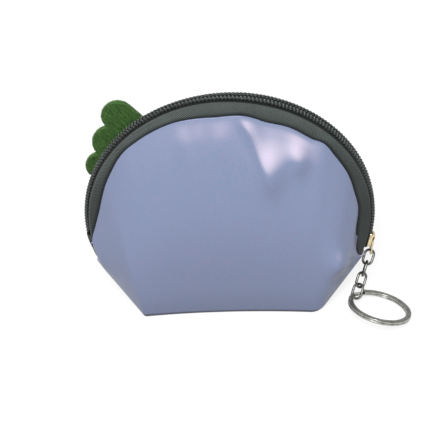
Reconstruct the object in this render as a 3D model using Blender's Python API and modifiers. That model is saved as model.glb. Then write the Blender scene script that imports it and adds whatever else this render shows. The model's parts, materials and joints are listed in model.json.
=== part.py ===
"""A small zip purse: boxed cloth body, arched coil zip, leaf crest, slider, chain and split ring.

The purse stands on its boxed base with the smooth back panel towards -Y and the plush front
towards +Y. Its zip runs over the top as an arc of a circle in the plane y = 0. The origin is the
middle of the base, on the resting plane.
"""

import math

import bmesh
import bpy
from mathutils import Matrix, Vector

MM = 0.001

# Zip arch: an arc about a point above the middle of the base
ARCH_RADIUS = 58.2 * MM
ARCH_HEIGHT = 38.7 * MM
ARCH_DROP = math.radians(18)

# Cloth body
BASE_HALF_LENGTH = 36 * MM
BASE_HALF_DEPTH = 18 * MM
CREASE_BOW = 2.5 * MM
BELLY_BULGE = 7.5 * MM
END_HALF_WIDTH = 3.6 * MM
END_DIP = 1.4 * MM
END_OUT = 0.1 * MM
BASE_SEAM_SHIFT = 1.5 * MM
PANEL_THICKNESS = 0.8 * MM
LINING_THICKNESS = 0.5 * MM
PLY_GAP = 0.3 * MM
SIDE_SHARE = 0.22
BELLY_RISE_SHARE = 0.7
LINING_END_SHARE = 0.05
RUN_STEPS = 40
FACE_STEPS = 8
BASE_STEPS = 2

# Zip: two coil halves on two tapes
COIL_WIRE_RADIUS = 0.9 * MM
COIL_PARTING = 0.65 * MM
TAPE_THICKNESS = 0.6 * MM
TAPE_FLAT_WIDTH = 4 * MM
TAPE_DROP = 3.6 * MM
TAPE_FLARE = 1.9 * MM
TAPE_END_FLARE = 1.2 * MM
TAPE_SEAM_GAP = 1.2 * MM
PANEL_END_GAP = 1.3 * MM
ZIP_STEPS = 72
COIL_SIDES_RESOLUTION = 2

# Mouth: the zone round the hinge line in which the front cloth stays with the body
FOLD_CLEARANCE = 2.2 * MM
FOLD_GAP = 0.4 * MM
CUTTER_OVERRUN = 20 * MM
FOLD_SEGMENTS = 64

# Slider
SLIDER_LENGTH = 7 * MM
SLIDER_HALF_WIDTH = 3.6 * MM
SLIDER_STOP_GAP = 2 * MM
SLIDER_RUN_GAP = 0.3 * MM
OUTER_PLATE = 0.5 * MM
INNER_PLATE = 0.6 * MM
FLANGE_THICKNESS = 0.6 * MM
FLANGE_DEPTH = 1.5 * MM
POST_HALF_THICKNESS = 0.35 * MM
POST_LENGTH = 1.6 * MM
WELD_BITE = 0.1 * MM

# Slider's crown, the bridge that carries the pull
CROWN_HALF_LENGTH = 2.6 * MM
CROWN_HALF_WIDTH = 1.5 * MM
CROWN_LEG = 0.8 * MM
CROWN_ROOF = 0.45 * MM
CROWN_ROUNDING = 0.4 * MM

# Pull: a flat tab with an eye for the crown and a slot for the chain
PULL_THICKNESS = 0.6 * MM
PULL_HALF_WIDTH = 2.6 * MM
PULL_BAR = 0.55 * MM
PULL_PLAY = 0.22 * MM
PULL_ARM = 0.7 * MM
PULL_EYE_LENGTH = 3.5 * MM
PULL_WEB = 1 * MM
PULL_SLOT_LENGTH = 3.1 * MM
PULL_SIDE = 0.8 * MM
PULL_FOOT = 0.9 * MM
PULL_CORNER_STEPS = 5
PULL_HANG = math.radians(7.5)

# Chain
LINK_LENGTH = 7.4 * MM
LINK_WIDTH = 5.2 * MM
LINK_WIRE_RADIUS = 0.55 * MM
LINK_COUNT = 4
LINK_GAP = 0.2 * MM
LINK_HOOK_GAP = 0.5 * MM
LINK_ARC_STEPS = 8
CHAIN_SLOPE = math.radians(43)
CHAIN_HEADING = math.radians(27)
LINK_FACING = math.radians(40)
LINK_ROLLS = (math.radians(28), math.radians(90), math.radians(149), math.radians(208))

# Split ring: two turns of flat wire
RING_OUTER_RADIUS = 13 * MM
RING_WIRE_WIDTH = 1.6 * MM
RING_WIRE_HEIGHT = 0.65 * MM
RING_TURN_GAP = 0.4 * MM
RING_TILT = math.radians(18.4)
RING_TILT_HEADING = math.radians(47)
RING_HANG = math.radians(136)
RING_STEPS = 32
RING_JOG = math.radians(50)
RING_END_GAP = math.radians(6)
RING_START = math.radians(200)

# Leaf crest: two plush layers with three lobes, sewn in beside the front tape
LEAF_THICKNESS = 1.5 * MM
LEAF_RIM = 0.6 * MM
LEAF_STEPS = 60
LEAF_START = math.radians(126)
LEAF_END = math.radians(162.6)
LEAF_SHOULDER = 0.8 * MM
LOBE_ANGLES = (math.radians(133.2), math.radians(145.6), math.radians(157.2))
LOBE_REACHES = (3.8 * MM, 1.3 * MM, -0.4 * MM)
LOBE_RADII = (8 * MM, 6.3 * MM, 5.2 * MM)

PART_NAME = "zip_purse"
CUTTERS_NAME = "cutters"


def clear_scene():
    """Remove every object of the opening scene."""
    for obj in list(bpy.data.objects):
        bpy.data.objects.remove(obj, do_unlink=True)


def make_collection(name):
    """Return a new collection under the scene's own."""
    collection = bpy.data.collections.new(name)
    bpy.context.scene.collection.children.link(collection)
    return collection


def make_material(name, color, roughness, metallic=0.0):
    """Return a Principled material of one colour."""
    material = bpy.data.materials.new(name)
    material.use_nodes = True
    shader = material.node_tree.nodes["Principled BSDF"]
    shader.inputs["Base Color"].default_value = (*color, 1.0)
    shader.inputs["Roughness"].default_value = roughness
    shader.inputs["Metallic"].default_value = metallic
    return material


class Bench:
    """Holds the collections and materials that every piece is put in."""

    def __init__(self):
        self.parts = make_collection(PART_NAME)
        self.cutters = make_collection(CUTTERS_NAME)
        self.back_cloth = make_material("lavender_cloth", (0.26, 0.32, 0.50), 0.45)
        self.plush = make_material("green_plush", (0.09, 0.22, 0.06), 0.95)
        self.rim_plush = make_material("lime_plush", (0.17, 0.36, 0.11), 0.95)
        self.lining = make_material("lining_cloth", (0.10, 0.11, 0.11), 0.9)
        self.tape = make_material("zip_tape", (0.07, 0.085, 0.08), 0.9)
        self.coil = make_material("zip_coil", (0.02, 0.03, 0.03), 0.5)
        self.gold = make_material("pale_gold", (0.75, 0.62, 0.36), 0.3, 1.0)
        self.steel = make_material("chain_steel", (0.32, 0.31, 0.29), 0.3, 1.0)

    def add(self, name, data, material, parent=None):
        """Link an object that holds one piece."""
        obj = bpy.data.objects.new(name, data)
        data.materials.append(material)
        obj.parent = parent
        self.parts.objects.link(obj)
        return obj

    def add_cutter(self, name, data):
        """Link an object that only cuts others."""
        obj = bpy.data.objects.new(name, data)
        obj.hide_render = True
        obj.display_type = "WIRE"
        self.cutters.objects.link(obj)
        return obj

    def add_pivot(self, name, matrix, parent=None):
        """Link an empty that marks a joint, at a place in the world."""
        pivot = bpy.data.objects.new(name, None)
        pivot.parent = parent
        self.parts.objects.link(pivot)
        bpy.context.view_layer.update()
        pivot.matrix_world = matrix
        bpy.context.view_layer.update()
        return pivot


def arch_point(radius, angle, y=0.0):
    """Return the point at a radius and angle about the arch's centre."""
    return Vector((radius * math.cos(angle), y, ARCH_HEIGHT + radius * math.sin(angle)))


def tape_radius():
    """Return the radius of the tape's outer face under the coil."""
    return ARCH_RADIUS - COIL_WIRE_RADIUS - PLY_GAP


def panel_radius():
    """Return the radius at which the panels meet the tapes."""
    return tape_radius() - TAPE_DROP


def tape_turn_y():
    """Return how far from the middle plane the tape turns down."""
    return COIL_PARTING + TAPE_FLAT_WIDTH


def seam_y(angle):
    """Return how far from the middle plane the tape meets the panel, less at the zip's ends."""
    run = (angle + ARCH_DROP) / (math.pi + ARCH_DROP + ARCH_DROP)
    share = math.sin(math.pi * min(1.0, max(0.0, run)))
    return tape_turn_y() + TAPE_END_FLARE + (TAPE_FLARE - TAPE_END_FLARE) * share


def hinge_height():
    """Return the height of the line through the zip's two ends."""
    return arch_point(ARCH_RADIUS, -ARCH_DROP).z


def park_angle():
    """Return the slider's angle when it is parked at the right-hand end."""
    return -ARCH_DROP + (SLIDER_LENGTH / 2 + SLIDER_STOP_GAP) / ARCH_RADIUS


def fold_end_radius():
    """Return the fold zone's radius at the zip's ends, past the parked slider."""
    slider_top = arch_point(ARCH_RADIUS, park_angle() + SLIDER_LENGTH / 2 / ARCH_RADIUS).z
    return slider_top - hinge_height() + FOLD_CLEARANCE


def fold_mid_radius():
    """Return the fold zone's radius over the base, which it holds whole."""
    return math.hypot(BASE_HALF_DEPTH, hinge_height()) + FOLD_CLEARANCE


def mix(first, second, share):
    """Return the value at a share of the way from first to second."""
    return first + (second - first) * share


def lower_outline(run):
    """Return x, z and how far down a point of the body's lower outline is, run from 0 to 1."""
    end = arch_point(ARCH_RADIUS, -ARCH_DROP)
    end_x = end.x + END_OUT
    end_z = end.z - END_DIP
    from_end = min(run, 1 - run) / SIDE_SHARE
    sign = -1 if run < 0.5 else 1
    if from_end < 1:
        return sign * mix(end_x, BASE_HALF_LENGTH, from_end), mix(end_z, 0.0, from_end), from_end
    along = (run - SIDE_SHARE) / (1 - SIDE_SHARE - SIDE_SHARE)
    return mix(-BASE_HALF_LENGTH, BASE_HALF_LENGTH, along), 0.0, 1.0


def crease_point(run, side):
    """Return a point of the fold between a face and the base or the side."""
    x, z, down = lower_outline(run)
    half_depth = mix(END_HALF_WIDTH, BASE_HALF_DEPTH, down)
    if down == 1.0:
        half_depth -= CREASE_BOW * (1 - (x / BASE_HALF_LENGTH) ** 2)
    return Vector((x, side * half_depth, z))


def body_seam_point(run, side):
    """Return a point of the seam between the back and the front, half a gap to this side of it."""
    x, z, down = lower_outline(run)
    return Vector((x, BASE_SEAM_SHIFT * down + side * PLY_GAP / 2, z))


def face_point(run, down, side):
    """Return a point of a bulging face, down from 0 at the tape to 1 at the crease."""
    drop = ARCH_DROP + PANEL_END_GAP / panel_radius()
    angle = math.pi + drop - run * (math.pi + drop + drop)
    top = arch_point(panel_radius(), angle, side * seam_y(angle))
    point = top.lerp(crease_point(run, side), down)
    bulge = math.sin(math.pi * down) * math.sin(math.pi * run) ** BELLY_RISE_SHARE
    point.y += side * BELLY_BULGE * bulge
    return point


def grid_mesh(name, rows, flip):
    """Return an open mesh of four-sided faces through rows of points."""
    mesh = bpy.data.meshes.new(name)
    shape = bmesh.new()
    grid = [[shape.verts.new(point) for point in row] for row in rows]
    for upper, lower in zip(grid, grid[1:]):
        for index in range(len(upper) - 1):
            corners = [upper[index], upper[index + 1], lower[index + 1], lower[index]]
            shape.faces.new(reversed(corners) if flip else corners)
    shape.to_mesh(mesh)
    shape.free()
    mesh.shade_smooth()
    return mesh


def body_rows(side, end_share):
    """Return the rows of one half of the body, from its tape down to the seam under the base.

    The rows leave out a share of the run at each of the zip's ends.
    """
    runs = [mix(end_share, 1 - end_share, step / RUN_STEPS) for step in range(RUN_STEPS + 1)]
    rows = [
        [face_point(run, step / FACE_STEPS, side) for run in runs]
        for step in range(FACE_STEPS + 1)
    ]
    for step in range(1, BASE_STEPS + 1):
        share = step / BASE_STEPS
        rows.append(
            [crease_point(run, side).lerp(body_seam_point(run, side), share) for run in runs]
        )
    return rows


def solidify(obj, thickness, depth=0.0):
    """Give an open surface a thickness inwards, starting at a depth under it."""
    wall = obj.modifiers.new("wall", "SOLIDIFY")
    wall.thickness = thickness
    wall.offset = -1 - 2 * depth / thickness
    wall.use_even_offset = True


def boolean(obj, cutter, operation):
    """Cut an object with another, or keep only what both share."""
    cut = obj.modifiers.new(operation.lower(), "BOOLEAN")
    cut.operation = operation
    cut.object = cutter


def body_ply(bench, name, side, material, thickness, depth):
    """Add one cloth half of the body at a depth under its outer face."""
    end_share = LINING_END_SHARE if depth else 0.0
    obj = bench.add(name, grid_mesh(name, body_rows(side, end_share), side < 0), material)
    solidify(obj, thickness, depth)
    return obj


def tape_rows(side, start, end, steps):
    """Return the rows of one tape, across its width, from one angle to another."""
    angles = [mix(start, end, step / steps) for step in range(steps + 1)]
    rows = [
        [arch_point(tape_radius(), angle, side * COIL_PARTING) for angle in angles],
        [arch_point(tape_radius(), angle, side * tape_turn_y()) for angle in angles],
        [arch_point(panel_radius() + TAPE_SEAM_GAP, angle, side * seam_y(angle))
         for angle in angles],
    ]
    return rows


def tape(bench, name, side, start, end, steps):
    """Add a stretch of zip tape."""
    rows = tape_rows(side, start, end, steps)
    obj = bench.add(name, grid_mesh(name, rows, side > 0), bench.tape)
    solidify(obj, TAPE_THICKNESS)
    return obj


def coil(bench, name, side, start, end, steps):
    """Add a stretch of one coil half, as the round envelope of its turns."""
    curve = bpy.data.curves.new(name, "CURVE")
    curve.dimensions = "3D"
    curve.bevel_depth = COIL_WIRE_RADIUS
    curve.bevel_resolution = COIL_SIDES_RESOLUTION
    curve.use_fill_caps = True
    spline = curve.splines.new("POLY")
    spline.points.add(steps)
    y = side * (COIL_PARTING + COIL_WIRE_RADIUS)
    for step, point in enumerate(spline.points):
        point.co = (*arch_point(ARCH_RADIUS, mix(start, end, step / steps), y), 1)
    return bench.add(name, curve, bench.coil)


def fold_zone(bench, name, grow):
    """Add the cutter for the cloth that stays put: a spindle on the hinge line and all below it."""
    end_x = arch_point(ARCH_RADIUS, -ARCH_DROP).x
    reach = ARCH_RADIUS + CUTTER_OVERRUN
    end = fold_end_radius() + grow
    middle = fold_mid_radius() + grow
    profile = [
        (0.0, reach), (end, reach), (end, end_x), (middle, BASE_HALF_LENGTH),
        (middle, -BASE_HALF_LENGTH), (end, -end_x), (end, -reach), (0.0, -reach),
    ]
    mesh = bpy.data.meshes.new(name)
    mesh.from_pydata(
        [(x, 0.0, z) for x, z in profile],
        [(index, index + 1) for index in range(len(profile) - 1)],
        [],
    )
    spindle = bench.add_cutter(name, mesh)
    spin = spindle.modifiers.new("spin", "SCREW")
    spin.steps = FOLD_SEGMENTS
    spin.render_steps = FOLD_SEGMENTS
    spin.use_merge_vertices = True
    spin.merge_threshold = FOLD_GAP / 10
    spindle.rotation_euler.y = math.pi / 2
    spindle.location.z = hinge_height()
    boolean(spindle, lower_block(bench, name + "_block"), "UNION")
    return spindle


def lower_block(bench, name):
    """Add the block of space below the hinge line."""
    half = ARCH_RADIUS + CUTTER_OVERRUN
    low = -CUTTER_OVERRUN
    mesh = bpy.data.meshes.new(name)
    shape = bmesh.new()
    size = Matrix.Diagonal((half + half, half + half, hinge_height() - low, 1))
    place = Matrix.Translation((0.0, 0.0, (hinge_height() + low) / 2))
    bmesh.ops.create_cube(shape, size=1, matrix=place @ size)
    shape.to_mesh(mesh)
    shape.free()
    return bench.add_cutter(name, mesh)


def body(bench):
    """Add the cloth body: the back, and the front in a part that stays and a part that opens."""
    lining_depth = PANEL_THICKNESS + PLY_GAP
    body_ply(bench, "back_panel", -1, bench.back_cloth, PANEL_THICKNESS, 0.0)
    body_ply(bench, "back_lining", -1, bench.lining, LINING_THICKNESS, lining_depth)
    held = fold_zone(bench, "held_zone", -FOLD_GAP / 2)
    free = fold_zone(bench, "free_zone", FOLD_GAP / 2)
    for ply, material, thickness, depth in (
        ("panel", bench.plush, PANEL_THICKNESS, 0.0),
        ("lining", bench.lining, LINING_THICKNESS, lining_depth),
    ):
        lower = body_ply(bench, "front_" + ply + "_lower", 1, material, thickness, depth)
        boolean(lower, held, "INTERSECT")
        upper = body_ply(bench, "front_" + ply + "_upper", 1, material, thickness, depth)
        boolean(upper, free, "DIFFERENCE")
    return held, free


def zip_chain(bench, held, free):
    """Add the tapes and coil halves, the front ones parted where the mouth's hinge frees them."""
    low = -ARCH_DROP
    high = math.pi + ARCH_DROP
    part = math.asin((hinge_height() + fold_end_radius() - ARCH_HEIGHT) / ARCH_RADIUS)
    gap = FOLD_GAP / 2 / ARCH_RADIUS
    stub_steps = math.ceil(ZIP_STEPS * (part - low) / (high - low))
    tape(bench, "back_tape", -1, low, high, ZIP_STEPS)
    coil(bench, "back_coil", -1, low, high, ZIP_STEPS)
    boolean(tape(bench, "front_tape", 1, low, high, ZIP_STEPS), free, "DIFFERENCE")
    coil(bench, "front_coil", 1, part + gap, math.pi - part - gap, ZIP_STEPS)
    reach = fold_mid_radius() / ARCH_RADIUS
    for name, start, end in (
        ("right", low, low + reach),
        ("left", high - reach, high),
    ):
        stub = tape(bench, "front_tape_end_" + name, 1, start, end, stub_steps + stub_steps)
        boolean(stub, held, "INTERSECT")
    coil(bench, "front_coil_end_right", 1, low, part - gap, stub_steps)
    coil(bench, "front_coil_end_left", 1, math.pi - part + gap, high, stub_steps)


def lobe_radius(angle, centre_angle, centre_radius, radius):
    """Return how far out a round lobe reaches at an angle, or zero beside it."""
    aside = centre_radius * math.sin(angle - centre_angle)
    if abs(aside) >= radius:
        return 0.0
    return centre_radius * math.cos(angle - centre_angle) + math.sqrt(radius**2 - aside**2)


def leaf_outline(rim):
    """Return the crest's outline in x and z, with every lobe larger by a rim."""
    inner = panel_radius() + PLY_GAP
    shoulder = ARCH_RADIUS + LEAF_SHOULDER + rim
    angles = [mix(LEAF_START, LEAF_END, step / LEAF_STEPS) for step in range(LEAF_STEPS + 1)]
    outer = []
    for angle in angles:
        lobes = [
            lobe_radius(angle, lobe, ARCH_RADIUS + reach, radius + rim)
            for lobe, reach, radius in zip(LOBE_ANGLES, LOBE_REACHES, LOBE_RADII)
        ]
        outer.append(arch_point(max(shoulder, *lobes), angle))
    return outer + [arch_point(inner, angle) for angle in reversed(angles[::5])]


def leaf_layer(bench, name, near_y, rim, material):
    """Add one flat layer of the leaf crest."""
    curve = bpy.data.curves.new(name, "CURVE")
    curve.dimensions = "2D"
    curve.fill_mode = "BOTH"
    curve.extrude = LEAF_THICKNESS / 2
    outline = leaf_outline(rim)
    spline = curve.splines.new("POLY")
    spline.points.add(len(outline) - 1)
    for point, place in zip(spline.points, outline):
        point.co = (place.x, place.z, 0, 1)
    spline.use_cyclic_u = True
    obj = bench.add(name, curve, material)
    obj.rotation_euler.x = math.pi / 2
    obj.location.y = near_y + LEAF_THICKNESS / 2
    return obj


def leaf(bench):
    """Add the leaf crest's two layers."""
    near_y = tape_turn_y() + TAPE_FLARE + PLY_GAP
    leaf_layer(bench, "leaf_near_layer", near_y, 0.0, bench.plush)
    far_y = near_y + LEAF_THICKNESS + PLY_GAP
    leaf_layer(bench, "leaf_far_layer", far_y, LEAF_RIM, bench.rim_plush)


def box_mesh(name, low, high):
    """Return a closed box between two corners."""
    mesh = bpy.data.meshes.new(name)
    shape = bmesh.new()
    low = Vector(low)
    high = Vector(high)
    size = Matrix.Diagonal((*(high - low), 1))
    bmesh.ops.create_cube(shape, size=1, matrix=Matrix.Translation((low + high) / 2) @ size)
    shape.to_mesh(mesh)
    shape.free()
    return mesh


def crown_floor():
    """Return the radius of the slider's outer plate, on top."""
    return ARCH_RADIUS + COIL_WIRE_RADIUS + SLIDER_RUN_GAP + OUTER_PLATE


def pull_reach():
    """Return the distance from the pull's bar to its corner in section."""
    return math.hypot(PULL_THICKNESS, PULL_BAR) / 2


def pull_radius():
    """Return the radius of the pull's pivot about the arch's centre."""
    return crown_floor() + pull_reach() + PULL_PLAY / 2


def slider_boxes():
    """Return name, low and high corner of each block of the slider, as radius, y and run."""
    half = SLIDER_LENGTH / 2
    wide = SLIDER_HALF_WIDTH
    floor = crown_floor()
    plate = floor - OUTER_PLATE
    inner = tape_radius() - TAPE_THICKNESS - SLIDER_RUN_GAP
    channel = pull_radius() + pull_reach() + PULL_PLAY / 2
    roof = channel + CROWN_ROOF
    flange = plate - FLANGE_DEPTH
    crown = CROWN_HALF_LENGTH
    side = CROWN_HALF_WIDTH
    post_end = half - WELD_BITE
    return [
        ("outer_plate", (plate, -wide, -half), (floor, wide, half)),
        ("inner_plate", (inner - INNER_PLATE, -wide, -half), (inner, wide, half)),
        ("post", (inner - WELD_BITE, -POST_HALF_THICKNESS, -post_end),
         (plate + WELD_BITE, POST_HALF_THICKNESS, -post_end + POST_LENGTH)),
        ("left_flange", (flange, -wide, -post_end),
         (plate + WELD_BITE, -wide + FLANGE_THICKNESS, post_end)),
        ("right_flange", (flange, wide - FLANGE_THICKNESS, -post_end),
         (plate + WELD_BITE, wide, post_end)),
        ("lower_leg", (floor - WELD_BITE, -side, -crown),
         (channel + WELD_BITE, side, -crown + CROWN_LEG)),
        ("upper_leg", (floor - WELD_BITE, -side, crown - CROWN_LEG),
         (channel + WELD_BITE, side, crown)),
        ("roof", (channel, -side, -crown), (roof, side, crown)),
    ]


def round_box(obj, width):
    """Round the long corners of a plate."""
    edges = obj.modifiers.new("round", "BEVEL")
    edges.width = width
    edges.segments = 2
    edges.limit_method = "ANGLE"


def slider_body(bench, carrier):
    """Add the slider: two plates on a post, with side flanges and the crown over the pull."""
    solid = None
    for name, low, high in slider_boxes():
        if solid is None:
            solid = bench.add("slider_body", box_mesh(name, low, high), bench.gold, carrier)
            continue
        block = bench.add_cutter("slider_" + name, box_mesh(name, low, high))
        block.parent = carrier
        if name == "roof":
            round_box(block, CROWN_ROUNDING)
        boolean(solid, block, "UNION")
    return solid


def rounded_window(half_width, top, foot):
    """Return the corners of a window with a round foot, in y and drop."""
    points = [(-half_width, -top), (half_width, -top)]
    for step in range(PULL_CORNER_STEPS + 1):
        turn = -math.pi * step / PULL_CORNER_STEPS
        points.append(
            (half_width * math.cos(turn), -(foot - half_width) + half_width * math.sin(turn))
        )
    return points


def pull_tab(bench, pivot):
    """Add the pull, drawn with its bar at the pivot and its length down from there."""
    eye_top = PULL_BAR / 2
    eye_end = eye_top + PULL_EYE_LENGTH
    slot_top = eye_end + PULL_WEB
    slot_end = slot_top + PULL_SLOT_LENGTH
    foot = slot_end + PULL_FOOT
    half = PULL_HALF_WIDTH
    outline = rounded_window(half, -eye_top, foot)
    eye = [(-half + PULL_ARM, -eye_top), (half - PULL_ARM, -eye_top),
           (half - PULL_ARM, -eye_end), (-half + PULL_ARM, -eye_end)]
    slot_half = PULL_HALF_WIDTH - PULL_SIDE
    slot = rounded_window(slot_half, slot_top, slot_end)
    curve = bpy.data.curves.new("pull_tab", "CURVE")
    curve.dimensions = "2D"
    curve.fill_mode = "BOTH"
    curve.extrude = PULL_THICKNESS / 2
    for loop in (outline, eye, slot):
        spline = curve.splines.new("POLY")
        spline.points.add(len(loop) - 1)
        for point, (across, drop) in zip(spline.points, loop):
            point.co = (across, drop, 0, 1)
        spline.use_cyclic_u = True
    obj = bench.add("pull_tab", curve, bench.gold, pivot)
    obj.rotation_euler = (math.pi / 2, 0, math.pi / 2)
    return obj


def pull_contact():
    """Return how far along the pull the first link's wire runs through the slot."""
    slot_end = PULL_BAR / 2 + PULL_EYE_LENGTH + PULL_WEB + PULL_SLOT_LENGTH
    return slot_end - LINK_WIRE_RADIUS - LINK_HOOK_GAP


def chain_direction():
    """Return the way that the stored chain runs, down from the pull."""
    level = math.cos(CHAIN_SLOPE)
    return Vector((
        -level * math.sin(CHAIN_HEADING),
        -level * math.cos(CHAIN_HEADING),
        -math.sin(CHAIN_SLOPE),
    ))


def link_frame(origin, roll):
    """Return a link's frame: its length along -Z down the chain, its flat side along X."""
    down = chain_direction()
    facing = Vector((0.0, -math.cos(LINK_FACING), math.sin(LINK_FACING)))
    facing = (facing - facing.project(down)).normalized()
    facing = Matrix.Rotation(roll, 3, down) @ facing
    across = (-down).cross(facing)
    turn = Matrix((facing, across, -down)).transposed().to_4x4()
    return Matrix.Translation(origin) @ turn


def link_curve():
    """Return one link: a round-ended loop of wire, with the middle of its upper arc at zero."""
    curve = bpy.data.curves.new("chain_link", "CURVE")
    curve.dimensions = "3D"
    curve.bevel_depth = LINK_WIRE_RADIUS
    curve.bevel_resolution = 2
    radius = LINK_WIDTH / 2 - LINK_WIRE_RADIUS
    straight = LINK_LENGTH - LINK_WIDTH
    points = []
    for start, drop in ((0.0, 0.0), (math.pi, -straight)):
        for step in range(LINK_ARC_STEPS + 1):
            turn = start + math.pi * step / LINK_ARC_STEPS
            points.append((0.0, radius * math.cos(turn), drop + radius * math.sin(turn), 1))
    spline = curve.splines.new("POLY")
    spline.points.add(len(points) - 1)
    for point, place in zip(spline.points, points):
        point.co = place
    spline.use_cyclic_u = True
    return curve


def link_pitch():
    """Return the distance between two links' pivots along the straight chain."""
    return LINK_LENGTH - 4 * LINK_WIRE_RADIUS - LINK_GAP


def arc_radius():
    """Return the radius of a link's round ends on the wire's centre line."""
    return LINK_WIDTH / 2 - LINK_WIRE_RADIUS


def chain(bench, pull_pivot):
    """Add the links, each on a pivot of its own under the one before, and return the last."""
    down = chain_direction()
    place = pull_pivot.matrix_world @ Vector((0.0, 0.0, -pull_contact())) + down * arc_radius()
    parent = pull_pivot
    for index in range(LINK_COUNT):
        name = "chain_link_" + str(index + 1)
        parent = bench.add_pivot(name + "_pivot", link_frame(place, LINK_ROLLS[index]), parent)
        bench.add(name, link_curve(), bench.steel, parent)
        place = place + down * link_pitch()
    return parent


def ring_axes():
    """Return the ring's own axes: out to where the chain holds it, along it there, and its axis."""
    lean = Vector((
        math.sin(RING_TILT) * math.sin(RING_TILT_HEADING),
        math.sin(RING_TILT) * math.cos(RING_TILT_HEADING),
        math.cos(RING_TILT),
    ))
    out = Vector((math.cos(RING_HANG), math.sin(RING_HANG), 0.0))
    out = (out - out.project(lean)).normalized()
    return out, lean.cross(out), lean


def ring_height():
    """Return the height of the ring's two turns together."""
    return RING_WIRE_HEIGHT + RING_TURN_GAP + RING_WIRE_HEIGHT


def ring_radius():
    """Return the radius of the middle of the ring's wire."""
    return RING_OUTER_RADIUS - RING_WIRE_WIDTH / 2


def ring_frame(contact):
    """Return the ring's frame, from where the chain holds it: out along X, its axis along Z."""
    return Matrix.Translation(contact) @ Matrix(ring_axes()).transposed().to_4x4()


def ring_points():
    """Return the ring's wire: one flat turn, a jog up, and a second flat turn."""
    radius = ring_radius()
    rise = RING_WIRE_HEIGHT + RING_TURN_GAP
    full = 2 * math.pi
    sweep = full + full - RING_JOG - RING_END_GAP - RING_END_GAP
    points = []
    for step in range(RING_STEPS + RING_STEPS + 1):
        run = sweep * step / (RING_STEPS + RING_STEPS)
        climb = (run - (sweep - RING_JOG) / 2) / RING_JOG
        climb = min(1.0, max(0.0, climb))
        climb = climb * climb * (3 - climb - climb)
        turn = RING_START + run
        across = radius * math.cos(turn) - radius
        points.append((across, radius * math.sin(turn), rise * climb - rise / 2, 1))
    return points


def ring_section(bench):
    """Return the flat wire's section, as a helper curve."""
    curve = bpy.data.curves.new("ring_section", "CURVE")
    curve.dimensions = "2D"
    spline = curve.splines.new("POLY")
    spline.points.add(3)
    half_width = RING_WIRE_WIDTH / 2
    half_height = RING_WIRE_HEIGHT / 2
    corners = (
        (-half_width, half_height), (half_width, half_height),
        (half_width, -half_height), (-half_width, -half_height),
    )
    for point, (across, up) in zip(spline.points, corners):
        point.co = (across, up, 0, 1)
    spline.use_cyclic_u = True
    return bench.add_cutter("ring_section", curve)


def split_ring(bench, last_link):
    """Add the split ring, hooked in the last link."""
    reach = math.hypot(RING_WIRE_WIDTH, ring_height()) / 2
    bottom = LINK_WIDTH - LINK_LENGTH - arc_radius()
    lift = LINK_WIRE_RADIUS + reach + LINK_GAP
    contact = last_link.matrix_world @ Vector((0.0, 0.0, bottom + lift))
    curve = bpy.data.curves.new("split_ring", "CURVE")
    curve.dimensions = "3D"
    curve.bevel_mode = "OBJECT"
    curve.bevel_object = ring_section(bench)
    curve.twist_mode = "Z_UP"
    curve.use_fill_caps = True
    points = ring_points()
    spline = curve.splines.new("POLY")
    spline.points.add(len(points) - 1)
    for point, place in zip(spline.points, points):
        point.co = place
    pivot = bench.add_pivot("split_ring_pivot", ring_frame(contact), last_link)
    return bench.add("split_ring", curve, bench.steel, pivot)


def slider_and_chain(bench):
    """Add the slider on the arch's centre, and everything that hangs from it."""
    turn = Matrix.Rotation(-park_angle(), 4, "Y")
    centre = Matrix.Translation((0.0, 0.0, ARCH_HEIGHT)) @ turn
    carrier = bench.add_pivot("slider_pivot", centre)
    slider_body(bench, carrier)
    at_bar = centre @ Matrix.Translation((pull_radius(), 0.0, 0.0))
    hanging = at_bar @ Matrix.Rotation(-PULL_HANG, 4, "Y")
    pull_pivot = bench.add_pivot("pull_pivot", hanging, carrier)
    pull_tab(bench, pull_pivot)
    split_ring(bench, chain(bench, pull_pivot))


def main():
    """Build the whole purse."""
    clear_scene()
    bench = Bench()
    held, free = body(bench)
    zip_chain(bench, held, free)
    leaf(bench)
    slider_and_chain(bench)


main()
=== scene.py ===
"""The looks of a small zip purse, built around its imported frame.

Lengths are in metres. The purse stands on the plane z = 0 with its smooth back towards -Y and its
plush front towards +Y. The zip runs over it as an arc of a circle in the plane y = 0.
"""

import json
import logging
import math
import random
from dataclasses import dataclass, field, fields
from enum import Enum
from typing import Callable, Sequence

import bmesh
import bpy
import numpy as np
from mathutils import Matrix, Vector


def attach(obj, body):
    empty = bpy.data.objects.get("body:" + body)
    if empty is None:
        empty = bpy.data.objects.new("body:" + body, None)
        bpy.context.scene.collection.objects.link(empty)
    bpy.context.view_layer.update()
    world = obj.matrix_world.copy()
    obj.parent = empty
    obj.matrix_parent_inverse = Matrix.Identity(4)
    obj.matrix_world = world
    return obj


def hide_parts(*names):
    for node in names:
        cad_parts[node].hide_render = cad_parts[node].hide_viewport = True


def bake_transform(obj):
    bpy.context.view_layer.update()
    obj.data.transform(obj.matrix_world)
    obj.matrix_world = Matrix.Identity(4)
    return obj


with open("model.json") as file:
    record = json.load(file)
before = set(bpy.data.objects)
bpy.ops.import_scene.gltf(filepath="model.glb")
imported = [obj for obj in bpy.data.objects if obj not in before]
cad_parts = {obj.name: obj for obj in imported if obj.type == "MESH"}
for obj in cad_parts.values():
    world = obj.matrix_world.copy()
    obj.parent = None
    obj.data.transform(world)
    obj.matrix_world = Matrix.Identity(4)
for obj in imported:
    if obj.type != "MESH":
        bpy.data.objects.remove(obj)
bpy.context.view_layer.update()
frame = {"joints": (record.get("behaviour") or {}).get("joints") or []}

MM = 0.001
MERGE_DISTANCE = 0.001 * MM
LOG = logging.getLogger("zip_purse")


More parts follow.
